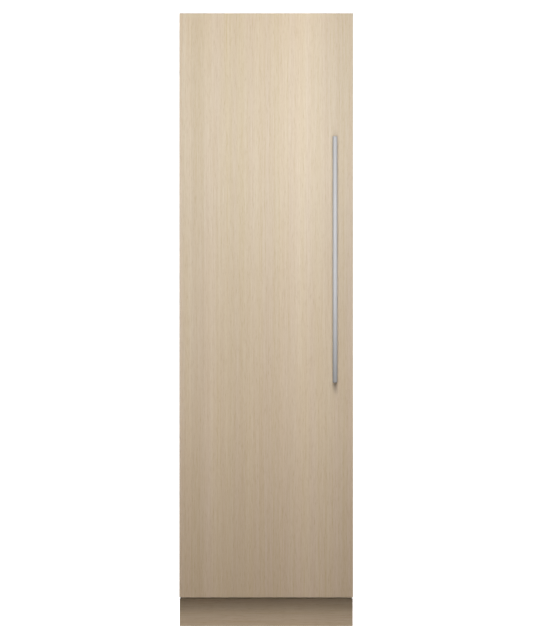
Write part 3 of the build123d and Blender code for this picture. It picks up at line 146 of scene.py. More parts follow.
class Finish:
    """A material under construction: one shader and the nodes that pattern it."""

    def __init__(self, name, colour, roughness, metallic=0.0, **sockets):
        self.material = bpy.data.materials.new(name)
        self.material.use_nodes = True
        self.tree = self.material.node_tree
        self.shader = self.tree.nodes["Principled BSDF"]
        self.shader.inputs["Base Color"].default_value = (*colour, 1)
        self.shader.inputs["Roughness"].default_value = roughness
        self.shader.inputs["Metallic"].default_value = metallic
        for socket, value in sockets.items():
            self.shader.inputs[socket.replace("_", " ")].default_value = value
        self.place = self.tree.nodes.new("ShaderNodeTexCoord").outputs["Object"]

    def link(self, output, socket):
        """Feed one node's output to another's socket."""
        self.tree.links.new(output, socket)

    def noise(self, stretch, detail=2.0, shift=(0, 0, 0), distortion=0.0):
        """Noise over the object's own place, so many waves to the metre along each axis."""
        mapping = self.tree.nodes.new("ShaderNodeMapping")
        mapping.inputs["Scale"].default_value = stretch
        mapping.inputs["Location"].default_value = shift
        noise = self.tree.nodes.new("ShaderNodeTexNoise")
        noise.inputs["Scale"].default_value = 1.0
        noise.inputs["Detail"].default_value = detail
        noise.inputs["Distortion"].default_value = distortion
        self.link(self.place, mapping.inputs["Vector"])
        self.link(mapping.outputs["Vector"], noise.inputs["Vector"])
        return noise.outputs["Fac"]

    def coordinate(self, axis):
        """The place along one axis of the object, in metres."""
        axes = self.tree.nodes.new("ShaderNodeSeparateXYZ")
        self.link(self.place, axes.inputs[0])
        return axes.outputs[axis]

    def along(self, axis, low, high):
        """0 at one place along an axis of the object and 1 at another."""
        spread = self.tree.nodes.new("ShaderNodeMapRange")
        spread.inputs["From Min"].default_value = low
        spread.inputs["From Max"].default_value = high
        self.link(self.coordinate(axis), spread.inputs["Value"])
        return spread.outputs["Result"]

    def ramp(self, value, *stops):
        """A grey or a colour for each value: stops are pairs of place and shade."""
        ramp = self.tree.nodes.new("ShaderNodeValToRGB")
        while len(ramp.color_ramp.elements) < len(stops):
            ramp.color_ramp.elements.new(0.5)
        for element, (place, shade) in zip(ramp.color_ramp.elements, stops):
            element.position = place
            element.color = (*shade, 1) if isinstance(shade, tuple) else (shade, shade, shade, 1)
        self.link(value, ramp.inputs["Fac"])
        return ramp.outputs["Color"]

    def mix(self, first, second, factor=1.0, kind="MULTIPLY"):
        """Two colours mixed by a number or by a pattern."""
        mix = self.tree.nodes.new("ShaderNodeMix")
        mix.data_type = "RGBA"
        mix.blend_type = kind
        for value, socket in ((factor, mix.inputs[0]), (first, mix.inputs[6]), (second, mix.inputs[7])):
            if isinstance(value, (int, float)):
                socket.default_value = value
            elif isinstance(value, tuple):
                socket.default_value = (*value, 1)
            else:
                self.link(value, socket)
        return mix.outputs[2]

    def colour(self, output):
        """Colour that follows a pattern."""
        self.link(output, self.shader.inputs["Base Color"])

    def gloss(self, value, low, high):
        """Roughness that follows a pattern between two limits."""
        spread = self.tree.nodes.new("ShaderNodeMapRange")
        spread.inputs["To Min"].default_value = low
        spread.inputs["To Max"].default_value = high
        self.link(value, spread.inputs["Value"])
        self.link(spread.outputs["Result"], self.shader.inputs["Roughness"])

    def bump(self, value, depth, strength=1.0):
        """Fine relief that follows a pattern."""
        bump = self.tree.nodes.new("ShaderNodeBump")
        bump.inputs["Distance"].default_value = depth
        bump.inputs["Strength"].default_value = strength
        self.link(value, bump.inputs["Height"])
        self.link(bump.outputs["Normal"], self.shader.inputs["Normal"])


def dress(finish, *names):
    """Give CAD nodes a finish in place of their plain one."""
    for name in names:
        for slot in nodes[name].material_slots:
            slot.material = finish.material


case_paint = Finish("case_powder_paint", (0.42, 0.43, 0.44), 0.45)
case_paint.bump(case_paint.noise((700, 700, 700), 1.0), 0.0002, 0.6)
case_paint.gloss(case_paint.noise((6, 6, 6), 3.0), 0.38, 0.52)
dress(case_paint, "outer_case", "door_skin")

# Back sheet, machine cover and top box
# Galvanised steel sheet, with the faint leafy spangle of hot-dip zinc. The louvred cover over the
# machine compartment is of a darker, plainer zinc.
zinc_sheet = Finish("galvanised_sheet", (0.55, 0.57, 0.58), 0.38, 0.9)
spangle = zinc_sheet.tree.nodes.new("ShaderNodeTexVoronoi")
spangle.inputs["Scale"].default_value = 120
zinc_sheet.link(zinc_sheet.place, spangle.inputs["Vector"])
zinc_sheet.colour(zinc_sheet.ramp(spangle.outputs["Color"], (0.0, (0.44, 0.46, 0.47)),
                                  (1.0, (0.66, 0.68, 0.69))))
zinc_sheet.gloss(spangle.outputs["Distance"], 0.32, 0.5)
dress(zinc_sheet, "rear_panel", "top_cover")
dark_zinc = Finish("dark_zinc_cover", (0.36, 0.37, 0.38), 0.42, 0.9)
dark_zinc.colour(dark_zinc.ramp(dark_zinc.noise((90, 90, 90), 3.0), (0.3, (0.31, 0.32, 0.33)),
                                (0.7, (0.40, 0.41, 0.42))))
dark_zinc.gloss(dark_zinc.noise((160, 160, 160), 2.0), 0.36, 0.5)
dress(dark_zinc, "machine_cover")

# Base frame
# Folded steel channels and the compartment floor, zinc-plated and passivated to a dull yellow.
yellow_zinc = Finish("yellow_passivated_zinc", (0.48, 0.41, 0.31), 0.4, 1.0)
yellow_zinc.colour(yellow_zinc.ramp(yellow_zinc.noise((30, 30, 30), 4.0), (0.3, (0.43, 0.37, 0.28)),
                                    (0.7, (0.53, 0.46, 0.34))))
yellow_zinc.gloss(yellow_zinc.noise((200, 20, 200), 2.0), 0.34, 0.48)
dress(yellow_zinc, "base_frame")

# Brackets and slides
# Folded and plated steel: bright zinc with a little blue in it and a soft rolled grain.
zinc_steel = Finish("zinc_plated_steel", (0.58, 0.60, 0.62), 0.32, 1.0)
zinc_steel.colour(zinc_steel.ramp(zinc_steel.noise((40, 40, 40), 4.0), (0.3, (0.50, 0.52, 0.56)),
                                  (0.7, (0.64, 0.66, 0.67))))
zinc_steel.gloss(zinc_steel.noise((300, 20, 300), 2.0), 0.26, 0.4)
dress(zinc_steel, "panel_brackets", "anti_tip_bracket", "drawer_rails",
      "lower_drawer_slides", "upper_drawer_slides", "handle_screws")

# Screws
# Zinc-plated sheet-metal screws. Hex heads on a washer face hold the brackets, the hinges and the
# top box; countersunk ones lie flush in the back sheet, its cover and under the hinge arms.
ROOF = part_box("outer_case")[1].z
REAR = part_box("outer_case")[1].y
DOOR_MIDDLE = (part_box("door_skin")[0].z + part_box("door_skin")[1].z) / 2
FACING = 0.9
SMOOTH_ANGLE = 35
ROUND_SIDES = 24
SEATING = 0.0002
WASHER_RADIUS = 0.0062
WASHER_TOP = 0.0012
HEX_RADIUS = 0.0046
HEX_FOOT = 0.0006
HEX_TOP = 0.0038
HEX_RIM = 0.0011
HEX_DISH = 0.0006
HEX_ROUNDING = 0.00025
FLUSH_RADIUS = 0.0042
FLUSH_DEPTH = 0.001
FLUSH_RISE = 0.0002
RECESS_RADIUS = 0.0019
RECESS_DEPTH = 0.0007
RECESS_OVERRUN = 0.001


def pick(piece, test):
    """In edit mode, select only the faces whose middle and outward way pass a test."""
    bpy.ops.mesh.select_mode(type="FACE")
    bpy.ops.mesh.select_all(action="DESELECT")
    mesh = bmesh.from_edit_mesh(piece.data)
    for face in mesh.faces:
        if test(face.calc_center_median(), face.normal):
            face.select_set(True)
    bmesh.update_edit_mesh(piece.data)


def push(x=0, y=0, z=0):
    """Extrude the picked faces by a move."""
    bpy.ops.mesh.extrude_region_move(TRANSFORM_OT_translate={"value": (x, y, z)})


def round_edges(width, segments=2, limit=40):
    """Round the sharp edges of the active piece."""
    bpy.ops.object.modifier_add(type="BEVEL")
    bevel = bpy.context.object.modifiers[-1]
    bevel.width = width
    bevel.segments = segments
    bevel.angle_limit = radians(limit)
    bpy.ops.object.modifier_apply(modifier=bevel.name)


def only(piece):
    """Make a piece the only one selected."""
    bpy.ops.object.select_all(action="DESELECT")
    piece.select_set(True)
    bpy.context.view_layer.objects.active = piece


def joined(pieces):
    """Join finished shells into one piece."""
    only(pieces[0])
    for piece in pieces[1:]:
        piece.select_set(True)
    bpy.ops.object.join()
    return bpy.context.object


def fit(piece, name, finish, body):
    """Name and dress a finished piece, keep its place in its mesh and hang it on its body."""
    only(piece)
    piece.name = name
    bpy.ops.object.transform_apply(location=True, rotation=True, scale=True)
    piece.data.materials.clear()
    piece.data.materials.append(finish.material)
    bpy.ops.object.shade_smooth_by_angle(angle=radians(SMOOTH_ANGLE))
    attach(piece, body)
    bpy.ops.object.select_all(action="DESELECT")
    return piece


def disc(sides, radius, low, high):
    """A round or many-sided disc on the z axis, between two heights."""
    bpy.ops.mesh.primitive_cylinder_add(vertices=sides, radius=radius, depth=high - low,
                                        location=(0, 0, (low + high) / 2))
    return bpy.context.object


def hex_screw():
    """A hex head with a dished top, on its washer face."""
    washer = disc(ROUND_SIDES, WASHER_RADIUS, -SEATING, WASHER_TOP)
    head = disc(6, HEX_RADIUS, HEX_FOOT, HEX_TOP)
    bpy.ops.object.mode_set(mode="EDIT")
    pick(head, lambda middle, way: way.z > FACING)
    bpy.ops.mesh.inset(thickness=HEX_RIM)
    push(z=-HEX_DISH)
    bpy.ops.object.mode_set(mode="OBJECT")
    screw = joined([washer, head])
    bpy.ops.object.transform_apply(location=True)
    round_edges(HEX_ROUNDING, 1)
    return screw


def flush_screw():
    """A countersunk head with a hex recess, almost level with its sheet."""
    head = disc(ROUND_SIDES, FLUSH_RADIUS, -FLUSH_DEPTH, FLUSH_RISE)
    recess = disc(6, RECESS_RADIUS, -RECESS_DEPTH, RECESS_OVERRUN)
    only(head)
    bpy.ops.object.transform_apply(location=True)
    bpy.ops.object.modifier_add(type="BOOLEAN")
    cut = head.modifiers[-1]
    cut.operation = "DIFFERENCE"
    cut.object = recess
    bpy.ops.object.modifier_apply(modifier=cut.name)
    only(recess)
    bpy.ops.object.delete()
    return head


UP, DOWN, BACK = (0, 0, 0), (pi, 0, 0), (-pi / 2, 0, 0)


def screws(name, make, facing, places, body):
    """One screw is modelled, copied to its places and turned to face outwards."""
    pattern = make()
    copies = []
    for place in places:
        only(pattern)
        bpy.ops.object.duplicate()
        copy = bpy.context.object
        copy.rotation_euler = facing
        copy.location = place
        copies.append(copy)
    only(pattern)
    bpy.ops.object.delete()
    fit(joined(copies), name, zinc_steel, body)


def mirrored(places):
    """The same places at the foot of the door."""
    return [(x, y, 2 * DOOR_MIDDLE - z) for x, y, z in places]


HINGE_PLATE_SHEET = 0.005
HINGE_SCREW_SIDE = 0.02
HINGE_SCREW_BACK = 0.022
hinge_low, hinge_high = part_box("upper_hinge_plate")
plate_places = [(x, hinge_high.y - HINGE_SCREW_BACK, ROOF + HINGE_PLATE_SHEET)
                for x in (hinge_low.x + HINGE_SCREW_SIDE, hinge_high.x - HINGE_SCREW_SIDE)]
screws("upper_hinge_screws", hex_screw, UP, plate_places, "cabinet")
screws("lower_hinge_screws", hex_screw, DOWN, mirrored(plate_places), "cabinet")

DOOR_PLATE_SHEET = 0.004
DOOR_PLATE_HOLES = ((0.012, 0.026), (0.012, 0.012), (0.092, 0.012))
door_plate_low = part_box("upper_door_plate")[0]
door_plate_places = [(door_plate_low.x + across, door_plate_low.y + deep,
                      door_plate_low.z + DOOR_PLATE_SHEET) for across, deep in DOOR_PLATE_HOLES]
screws("upper_door_plate_screws", flush_screw, UP, door_plate_places, "door")
screws("lower_door_plate_screws", flush_screw, DOWN, mirrored(door_plate_places), "door")

BRACKET_SHARES = (-0.2, 0.1, 0.4)
BRACKET_SCREW_SIDE = 0.014
BRACKET_SCREW_INSET = 0.012
BRACKET_FOOT_DROP = 0.033
BRACKET_FACE = 0.022
bracket_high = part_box("panel_brackets")[1]
bracket_xs = [share * (PANEL_HIGH.x - PANEL_LOW.x) + side
              for share in BRACKET_SHARES for side in (-BRACKET_SCREW_SIDE, BRACKET_SCREW_SIDE)]
face_places = [(x, PANEL_LOW.y + BRACKET_FACE, bracket_high.z - BRACKET_SCREW_INSET)
               for x in bracket_xs]
foot_places = [(x, bracket_high.y - BRACKET_SCREW_INSET, bracket_high.z - BRACKET_FOOT_DROP)
               for x in bracket_xs]
screws("panel_bracket_face_screws", hex_screw, BACK, face_places + mirrored(face_places), "door")
screws("upper_bracket_foot_screws", hex_screw, UP, foot_places, "door")
screws("lower_bracket_foot_screws", hex_screw, DOWN, mirrored(foot_places), "door")

BOX_INSET = 0.022
box_low, box_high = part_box("top_cover")
screws("top_cover_screws", hex_screw, UP,
       [(x, y, box_high.z) for x in (box_low.x + BOX_INSET, box_high.x - BOX_INSET)
        for y in (box_low.y + BOX_INSET, box_high.y - BOX_INSET)], "cabinet")

TIE_BRACKET_SHEET = 0.003
TIE_SCREW_BACK = 0.034
TIE_SCREW_XS = (-0.06, -0.02, 0.02, 0.06)
screws("tie_bracket_screws", hex_screw, UP,
       [(x, REAR - TIE_SCREW_BACK, ROOF + TIE_BRACKET_SHEET) for x in TIE_SCREW_XS], "cabinet")

EDGE_INSET = 0.009
EDGE_SCREW_START = 0.03
EDGE_SCREW_PITCH = 0.28
EDGE_SCREW_COUNT = 7
ROOF_SCREW_DROP = 0.012
ROOF_SCREW_XS = (-0.2, -0.1, 0, 0.1, 0.2)
COVER_SCREW_DROP = 0.01
COVER_SCREW_FOOT = 0.048
COVER_SCREW_MIDDLE = 0.19
cover_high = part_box("machine_cover")[1]
case_edge = cover_high.x - EDGE_INSET
edge_heights = [cover_high.z + EDGE_SCREW_START + EDGE_SCREW_PITCH * step
                for step in range(EDGE_SCREW_COUNT)]
cover_heights = (cover_high.z - COVER_SCREW_DROP, COVER_SCREW_FOOT)
screws("back_sheet_screws", flush_screw, BACK,
       [(side * case_edge, REAR, height) for side in (-1, 1) for height in edge_heights]
       + [(x, REAR, ROOF - ROOF_SCREW_DROP) for x in ROOF_SCREW_XS], "cabinet")
screws("machine_cover_screws", flush_screw, BACK,
       [(x, REAR, height) for x in (-case_edge, 0, case_edge) for height in cover_heights]
       + [(side * case_edge, REAR, COVER_SCREW_MIDDLE) for side in (-1, 1)], "cabinet")

# Insulation
# Rigid polyurethane foam, blown in place: cream, matt and finely pored.
foam = Finish("cream_foam", (0.78, 0.70, 0.46), 0.95)
foam.bump(foam.noise((900, 900, 900), 3.0), 0.0006)
foam.colour(foam.ramp(foam.noise((25, 25, 25), 3.0), (0.3, (0.70, 0.61, 0.38)), (0.7, (0.84, 0.77, 0.54))))
dress(foam, "cabinet_insulation", "door_insulation")

# Liners
# White sheet plastic, vacuum formed, satin. It is greyer than new plastic, because the light that
# suits the shut door burns it out once the door is open.
liner_white = Finish("white_liner_plastic", (0.70, 0.71, 0.71), 0.28)
liner_white.bump(liner_white.noise((450, 450, 450), 1.0), 0.00012, 0.5)
liner_white.gloss(liner_white.noise((60, 60, 60), 2.0), 0.26, 0.32)
dress(liner_white, "inner_liner", "door_liner")

# Stainless trim
# The duct cover, front frame, uprights and shelf frames are fine brushed stainless sheet, darker and
# duller than new for the same reason.
trim_steel = Finish("fine_brushed_stainless", (0.50, 0.51, 0.52), 0.34, 1.0)
brush = trim_steel.noise((900, 900, 8), 2.0)
trim_steel.colour(trim_steel.ramp(brush, (0.3, (0.38, 0.39, 0.40)), (0.7, (0.47, 0.48, 0.49))))
trim_steel.gloss(brush, 0.44, 0.56)
dress(trim_steel, "face_frame", "air_duct_cover", "shelf_uprights", "lower_shelf_frame",
      "middle_shelf_frame", "upper_shelf_frame")

# Machinery
# Compressor in black satin enamel, copper pipes, aluminium fins, black moulded fan, tray, cable
# inlet and feet, a white moulded fan behind the duct cover, and white nylon rollers.
enamel = Finish("black_enamel", (0.016, 0.016, 0.018), 0.3, Coat_Weight=0.4)
enamel.bump(enamel.noise((260, 260, 260), 2.0), 0.0003, 0.5)
enamel.gloss(enamel.noise((18, 18, 18), 4.0), 0.26, 0.44)
dress(enamel, "compressor")

copper = Finish("drawn_copper", (0.72, 0.36, 0.22), 0.3, 1.0)
copper.colour(copper.ramp(copper.noise((60, 60, 60), 4.0), (0.25, (0.45, 0.20, 0.12)),
                          (0.7, (0.80, 0.42, 0.27))))
copper.gloss(copper.noise((90, 90, 90), 3.0), 0.22, 0.5)
dress(copper, "refrigerant_pipes")

aluminium = Finish("mill_aluminium", (0.76, 0.77, 0.78), 0.35, 1.0)
aluminium.colour(aluminium.ramp(aluminium.noise((200, 200, 30), 2.0), (0.3, (0.66, 0.67, 0.68)),
                                (0.7, (0.82, 0.83, 0.84))))
aluminium.gloss(aluminium.noise((80, 80, 80), 2.0), 0.28, 0.45)
dress(aluminium, "condenser", "evaporator")

black_plastic = Finish("black_moulded_plastic", (0.022, 0.022, 0.024), 0.5)
black_plastic.bump(black_plastic.noise((1300, 1300, 1300), 1.0), 0.0001, 0.6)
black_plastic.gloss(black_plastic.noise((20, 20, 20), 2.0), 0.42, 0.58)
dress(black_plastic, "drain_pan", "condenser_fan_frame", "condenser_fan", "power_inlet",
      "left_foot", "right_foot")

white_plastic = Finish("white_moulded_plastic", (0.80, 0.81, 0.82), 0.4)
white_plastic.bump(white_plastic.noise((900, 900, 900), 1.0), 0.0001, 0.5)
dress(white_plastic, "evaporator_fan")

nylon = Finish("white_nylon", (0.70, 0.69, 0.65), 0.45, Subsurface_Weight=0.1)
nylon.colour(nylon.ramp(nylon.noise((70, 70, 70), 3.0), (0.3, (0.58, 0.57, 0.53)),
                        (0.7, (0.76, 0.75, 0.71))))
dress(nylon, "rear_rollers")

# Glass and clear plastic
# Toughened glass with a green cut edge, and clear moulded bins and drawers.
shelf_glass = Finish("clear_shelf_glass", (0.93, 0.985, 0.96), 0.02, Transmission_Weight=1.0, IOR=1.5)
shelf_glass.colour(shelf_glass.ramp(shelf_glass.noise((3, 3, 3), 1.0), (0.2, (0.90, 0.97, 0.94)),
                                    (0.8, (0.95, 0.99, 0.975))))
dress(shelf_glass, "lower_shelf_glass", "middle_shelf_glass", "upper_shelf_glass", "crisper_cover")

clear_plastic = Finish("clear_moulded_plastic", (0.985, 0.992, 0.996), 0.05,
                       Transmission_Weight=1.0, IOR=1.46)
clear_plastic.gloss(clear_plastic.noise((12, 12, 12), 2.0), 0.03, 0.1)
dress(clear_plastic, "lower_door_bin", "middle_door_bin", "upper_door_bin", "lower_drawer", "upper_drawer")

# Shelf, bin and drawer trims
# Folded stainless strips stiffen the front edge of each shelf and the rim of each door bin, and a
# white moulded pull, hollow underneath, is clipped along the front of each drawer.
FOLD_DEPTH = 0.0006
FOLD_ROUNDING = 0.0005
TRIM_LAP = 0.001
TRIM_RISE = 0.0008
SHELF_TRIM_INSET = 0.004
SHELF_TRIM_PROUD = 0.0022
SHELF_TRIM_DROP = 0.0035
SHELF_TRIM_RIM = 0.002
BIN_TRIM_INSET = 0.02
BIN_TRIM_LAP = 0.0034
BIN_TRIM_DROP = 0.017
BIN_TRIM_RIM = 0.0022
PULL_INSET = 0.016
PULL_PROUD = 0.013
PULL_LAP = 0.0005
PULL_DROP = 0.020
PULL_TOP_DROP = 0.001
PULL_WALL = 0.0018
PULL_HOLLOW = 0.014
PULL_LIP_PROUD = 0.012
PULL_SLOPE = (0, 0.002, -0.001)
PULL_ROUNDING = 0.0008


def bar(low, high):
    """A straight bar between two corners."""
    low, high = Vector(low), Vector(high)
    bpy.ops.mesh.primitive_cube_add(size=1, location=(low + high) / 2)
    bpy.context.object.scale = high - low
    bpy.ops.object.transform_apply(location=True, rotation=True, scale=True)
    return bpy.context.object


def folded_strip(low, high, facing, fold):
    """A strip whose broad face is pressed in behind a narrow rim."""
    strip = bar(low, high)
    bpy.ops.object.mode_set(mode="EDIT")
    pick(strip, lambda middle, way: way.y * facing > FACING)
    bpy.ops.mesh.inset(thickness=fold)
    push(y=-facing * FOLD_DEPTH)
    bpy.ops.object.mode_set(mode="OBJECT")
    round_edges(FOLD_ROUNDING)
    return strip


for level in ("lower", "middle", "upper"):
    glass_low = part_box(level + "_shelf_glass")[0]
    frame_low, frame_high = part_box(level + "_shelf_frame")
    shelf_trim = folded_strip((frame_low.x + SHELF_TRIM_INSET, frame_low.y - SHELF_TRIM_PROUD,
                               glass_low.z - SHELF_TRIM_DROP),
                              (frame_high.x - SHELF_TRIM_INSET, frame_low.y + TRIM_LAP,
                               frame_high.z + TRIM_RISE), -1, SHELF_TRIM_RIM)
    fit(shelf_trim, level + "_shelf_trim", trim_steel, level + "_shelf")
    bin_low, bin_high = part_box(level + "_door_bin")
    bin_trim = folded_strip((bin_low.x + BIN_TRIM_INSET, bin_high.y - BIN_TRIM_LAP,
                             bin_high.z - BIN_TRIM_DROP),
                            (bin_high.x - BIN_TRIM_INSET, bin_high.y + TRIM_LAP,
                             bin_high.z + TRIM_RISE), 1, BIN_TRIM_RIM)
    fit(bin_trim, level + "_bin_trim", trim_steel, level + "_bin")

for level in ("lower", "upper"):
    drawer_low, drawer_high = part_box(level + "_drawer")
    pull = bar((drawer_low.x + PULL_INSET, drawer_low.y - PULL_PROUD, drawer_high.z - PULL_DROP),
               (drawer_high.x - PULL_INSET, drawer_low.y + PULL_LAP, drawer_high.z - PULL_TOP_DROP))
    bpy.ops.object.mode_set(mode="EDIT")
    pick(pull, lambda middle, way: way.z < -FACING)
    bpy.ops.mesh.inset(thickness=PULL_WALL)
    push(z=PULL_HOLLOW)
    pick(pull, lambda middle, way: way.y < -FACING and middle.y < drawer_low.y - PULL_LIP_PROUD)
    bpy.ops.transform.translate(value=PULL_SLOPE)
    bpy.ops.object.mode_set(mode="OBJECT")
    round_edges(PULL_ROUNDING, 3)
    fit(pull, level + "_drawer_pull", white_plastic, level + "_drawer")

# Light and controls
# A frosted lens over the lamp, and a gloss black control bar with a button and a rocker.
lens = Finish("frosted_lens", (0.92, 0.94, 0.96), 0.5, Emission_Color=(1, 1, 1, 1), Emission_Strength=0.4)
lens.bump(lens.noise((600, 600, 600), 1.0), 0.0002, 0.6)
dress(lens, "ceiling_light")

gloss_black = Finish("gloss_black_plastic", (0.02, 0.02, 0.023), 0.12, Coat_Weight=0.3)
gloss_black.gloss(gloss_black.noise((30, 30, 30), 2.0), 0.08, 0.16)
dress(gloss_black, "control_panel")
key_black = Finish("key_black_plastic", (0.05, 0.05, 0.055), 0.3)
key_black.gloss(key_black.noise((200, 200, 200), 2.0), 0.25, 0.38)
dress(key_black, "power_button", "temperature_rocker")

# Marks on the controls
# Small raised marks moulded in light plastic: a ring on the button, plus and minus on the rocker,
# and five level lights in the bar between them.
pale_mark = Finish("pale_mark_plastic", (0.74, 0.76, 0.78), 0.4)
pale_mark.gloss(pale_mark.noise((300, 300, 300), 2.0), 0.34, 0.46)
FRONT = (pi / 2, 0, 0)
RING_RADIUS = 0.0032
RING_WIRE = 0.00035
RING_RELIEF = 0.0003
RING_STROKE_FOOT = 0.0012
RING_STROKE_TOP = 0.0046
RING_ROUNDING = 0.0001
button_low, button_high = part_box("power_button")
button_middle = (button_low + button_high) / 2
bpy.ops.mesh.primitive_torus_add(major_segments=32, minor_segments=8, major_radius=RING_RADIUS,
                                 minor_radius=RING_WIRE, rotation=FRONT,
                                 location=(button_middle.x, button_low.y, button_middle.z))
ring = bpy.context.object
stroke = bar((button_middle.x - RING_WIRE, button_low.y - RING_RELIEF, button_middle.z + RING_STROKE_FOOT),
             (button_middle.x + RING_WIRE, button_low.y + RING_RELIEF, button_middle.z + RING_STROKE_TOP))
mark = joined([ring, stroke])
round_edges(RING_ROUNDING, 1)
fit(mark, "power_button_mark", pale_mark, "power_key")

MARK_REACH = 0.016
MARK_DEPTH = 0.0008
MARK_RELIEF = 0.0005
MARK_LAP = 0.0004
MARK_ROUNDING = 0.00012
STROKE_HALF = 0.0026
STROKE_WIDTH = 0.0004
rocker_low, rocker_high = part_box("temperature_rocker")
rocker_middle = (rocker_low + rocker_high) / 2
mark_front = rocker_low.y + MARK_DEPTH - MARK_RELIEF
mark_back = rocker_low.y + MARK_DEPTH + MARK_LAP
minus_x, plus_x = rocker_middle.x - MARK_REACH, rocker_middle.x + MARK_REACH
strokes = [bar((x - STROKE_HALF, mark_front, rocker_middle.z - STROKE_WIDTH),
               (x + STROKE_HALF, mark_back, rocker_middle.z + STROKE_WIDTH)) for x in (minus_x, plus_x)]
strokes.append(bar((plus_x - STROKE_WIDTH, mark_front, rocker_middle.z - STROKE_HALF),
                   (plus_x + STROKE_WIDTH, mark_back, rocker_middle.z + STROKE_HALF)))
marks = joined(strokes)
round_edges(MARK_ROUNDING, 2)
fit(marks, "rocker_marks", pale_mark, "rocker")

LEVEL_COUNT = 5
LEVEL_START = 0.012
LEVEL_PITCH = 0.009
LEVEL_LENGTH = 0.0055
LEVEL_HALF = 0.001
LEVEL_RELIEF = 0.0005
LEVEL_LAP = 0.001
LEVEL_ROUNDING = 0.0003
level_light = Finish("level_light_lens", (0.75, 0.88, 0.95), 0.3, Emission_Color=(0.75, 0.9, 1.0, 1),
                     Emission_Strength=0.8)
level_light.gloss(level_light.noise((400, 400, 400), 1.0), 0.25, 0.4)
control_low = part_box("control_panel")[0]
lights = []
for number in range(LEVEL_COUNT):
    x = button_high.x + LEVEL_START + LEVEL_PITCH * number
    lights.append(bar((x, control_low.y - LEVEL_RELIEF, rocker_middle.z - LEVEL_HALF),
                      (x + LEVEL_LENGTH, control_low.y + LEVEL_LAP, rocker_middle.z + LEVEL_HALF)))
    round_edges(LEVEL_ROUNDING, 2)
fit(joined(lights), "level_lights", level_light, "cabinet")

# Hinges
# Thick stamped steel arms and plates in satin nickel, turning on riveted pins.
hinge_steel = Finish("satin_nickel_steel", (0.52, 0.52, 0.51), 0.34, 1.0)
hinge_steel.colour(hinge_steel.ramp(hinge_steel.noise((50, 50, 50), 4.0), (0.3, (0.46, 0.46, 0.455)),
                                    (0.7, (0.58, 0.575, 0.56))))
hinge_steel.gloss(hinge_steel.noise((400, 400, 400), 2.0), 0.28, 0.42)
dress(hinge_steel, *(side + piece for side in ("upper", "lower")
                     for piece in ("_main_arm", "_control_arm", "_door_plate", "_hinge_plate")))

# Door seal
# A soft light-grey vinyl bellows with a magnet strip inside.
seal_vinyl = Finish("grey_vinyl", (0.58, 0.58, 0.57), 0.55)
seal_vinyl.bump(seal_vinyl.noise((500, 500, 500), 1.0), 0.0001, 0.5)
dress(seal_vinyl, "door_gasket")
seal_low, seal_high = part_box("door_gasket")
seal_middle = (seal_low + seal_high) / 2
seal_reach = (seal_high - seal_low) / 2
seal_depth = 2 * seal_reach.y
SEAL_CORNER = 0.013
SEAL_SOFT = 0.0004
SEAL_ROUND = 0.0018
SEAL_ANGLE = 60


def seal_ring(inset, width, low_share, high_share, soft):
    """A rectangular ring with round corners, between two shares of the seal's depth."""
    place = (seal_middle.x, seal_low.y + seal_depth * low_share, seal_middle.z)
    bpy.ops.mesh.primitive_plane_add(size=2, rotation=FRONT, location=place)
    ring = bpy.context.object
    ring.scale = (seal_reach.x - inset, seal_reach.z - inset, 1)
    bpy.ops.object.transform_apply(location=True, rotation=True, scale=True)
    bpy.ops.object.mode_set(mode="EDIT")
    bpy.ops.mesh.select_all(action="SELECT")
    bpy.ops.mesh.bevel(affect="VERTICES", offset=SEAL_CORNER - inset, segments=5)
    bpy.ops.mesh.select_mode(type="FACE")
    bpy.ops.mesh.select_all(action="SELECT")
    bpy.ops.mesh.inset(thickness=width)
    bpy.ops.mesh.delete(type="FACE")
    bpy.ops.mesh.select_all(action="SELECT")
    push(y=seal_depth * (high_share - low_share))
    bpy.ops.mesh.select_all(action="SELECT")
    bpy.ops.mesh.normals_make_consistent(inside=False)
    bpy.ops.object.mode_set(mode="OBJECT")
    round_edges(soft, 3, SEAL_ANGLE)
    return ring


seal_foot = seal_ring(inset=0, width=0.013, low_share=0.0, high_share=0.16, soft=SEAL_SOFT)
bellows = seal_ring(inset=0.0025, width=0.008, low_share=0.12, high_share=0.46, soft=SEAL_SOFT)
fold = seal_ring(inset=0.0012, width=0.0106, low_share=0.28, high_share=0.40, soft=SEAL_SOFT)
magnet_pocket = seal_ring(inset=0.0004, width=0.0122, low_share=0.42, high_share=1.0, soft=SEAL_ROUND)
seal_rings = [seal_foot, bellows, fold, magnet_pocket]
seal = fit(joined(seal_rings), "magnetic_seal", seal_vinyl, "door")
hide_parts("door_gasket")

# Door panel and toe kick
# Light rift-cut oak veneer under matt lacquer. The grain runs up the door and along the toe kick:
# fine fibres and short pores, straighter growth lines, and soft bands a few centimetres wide.


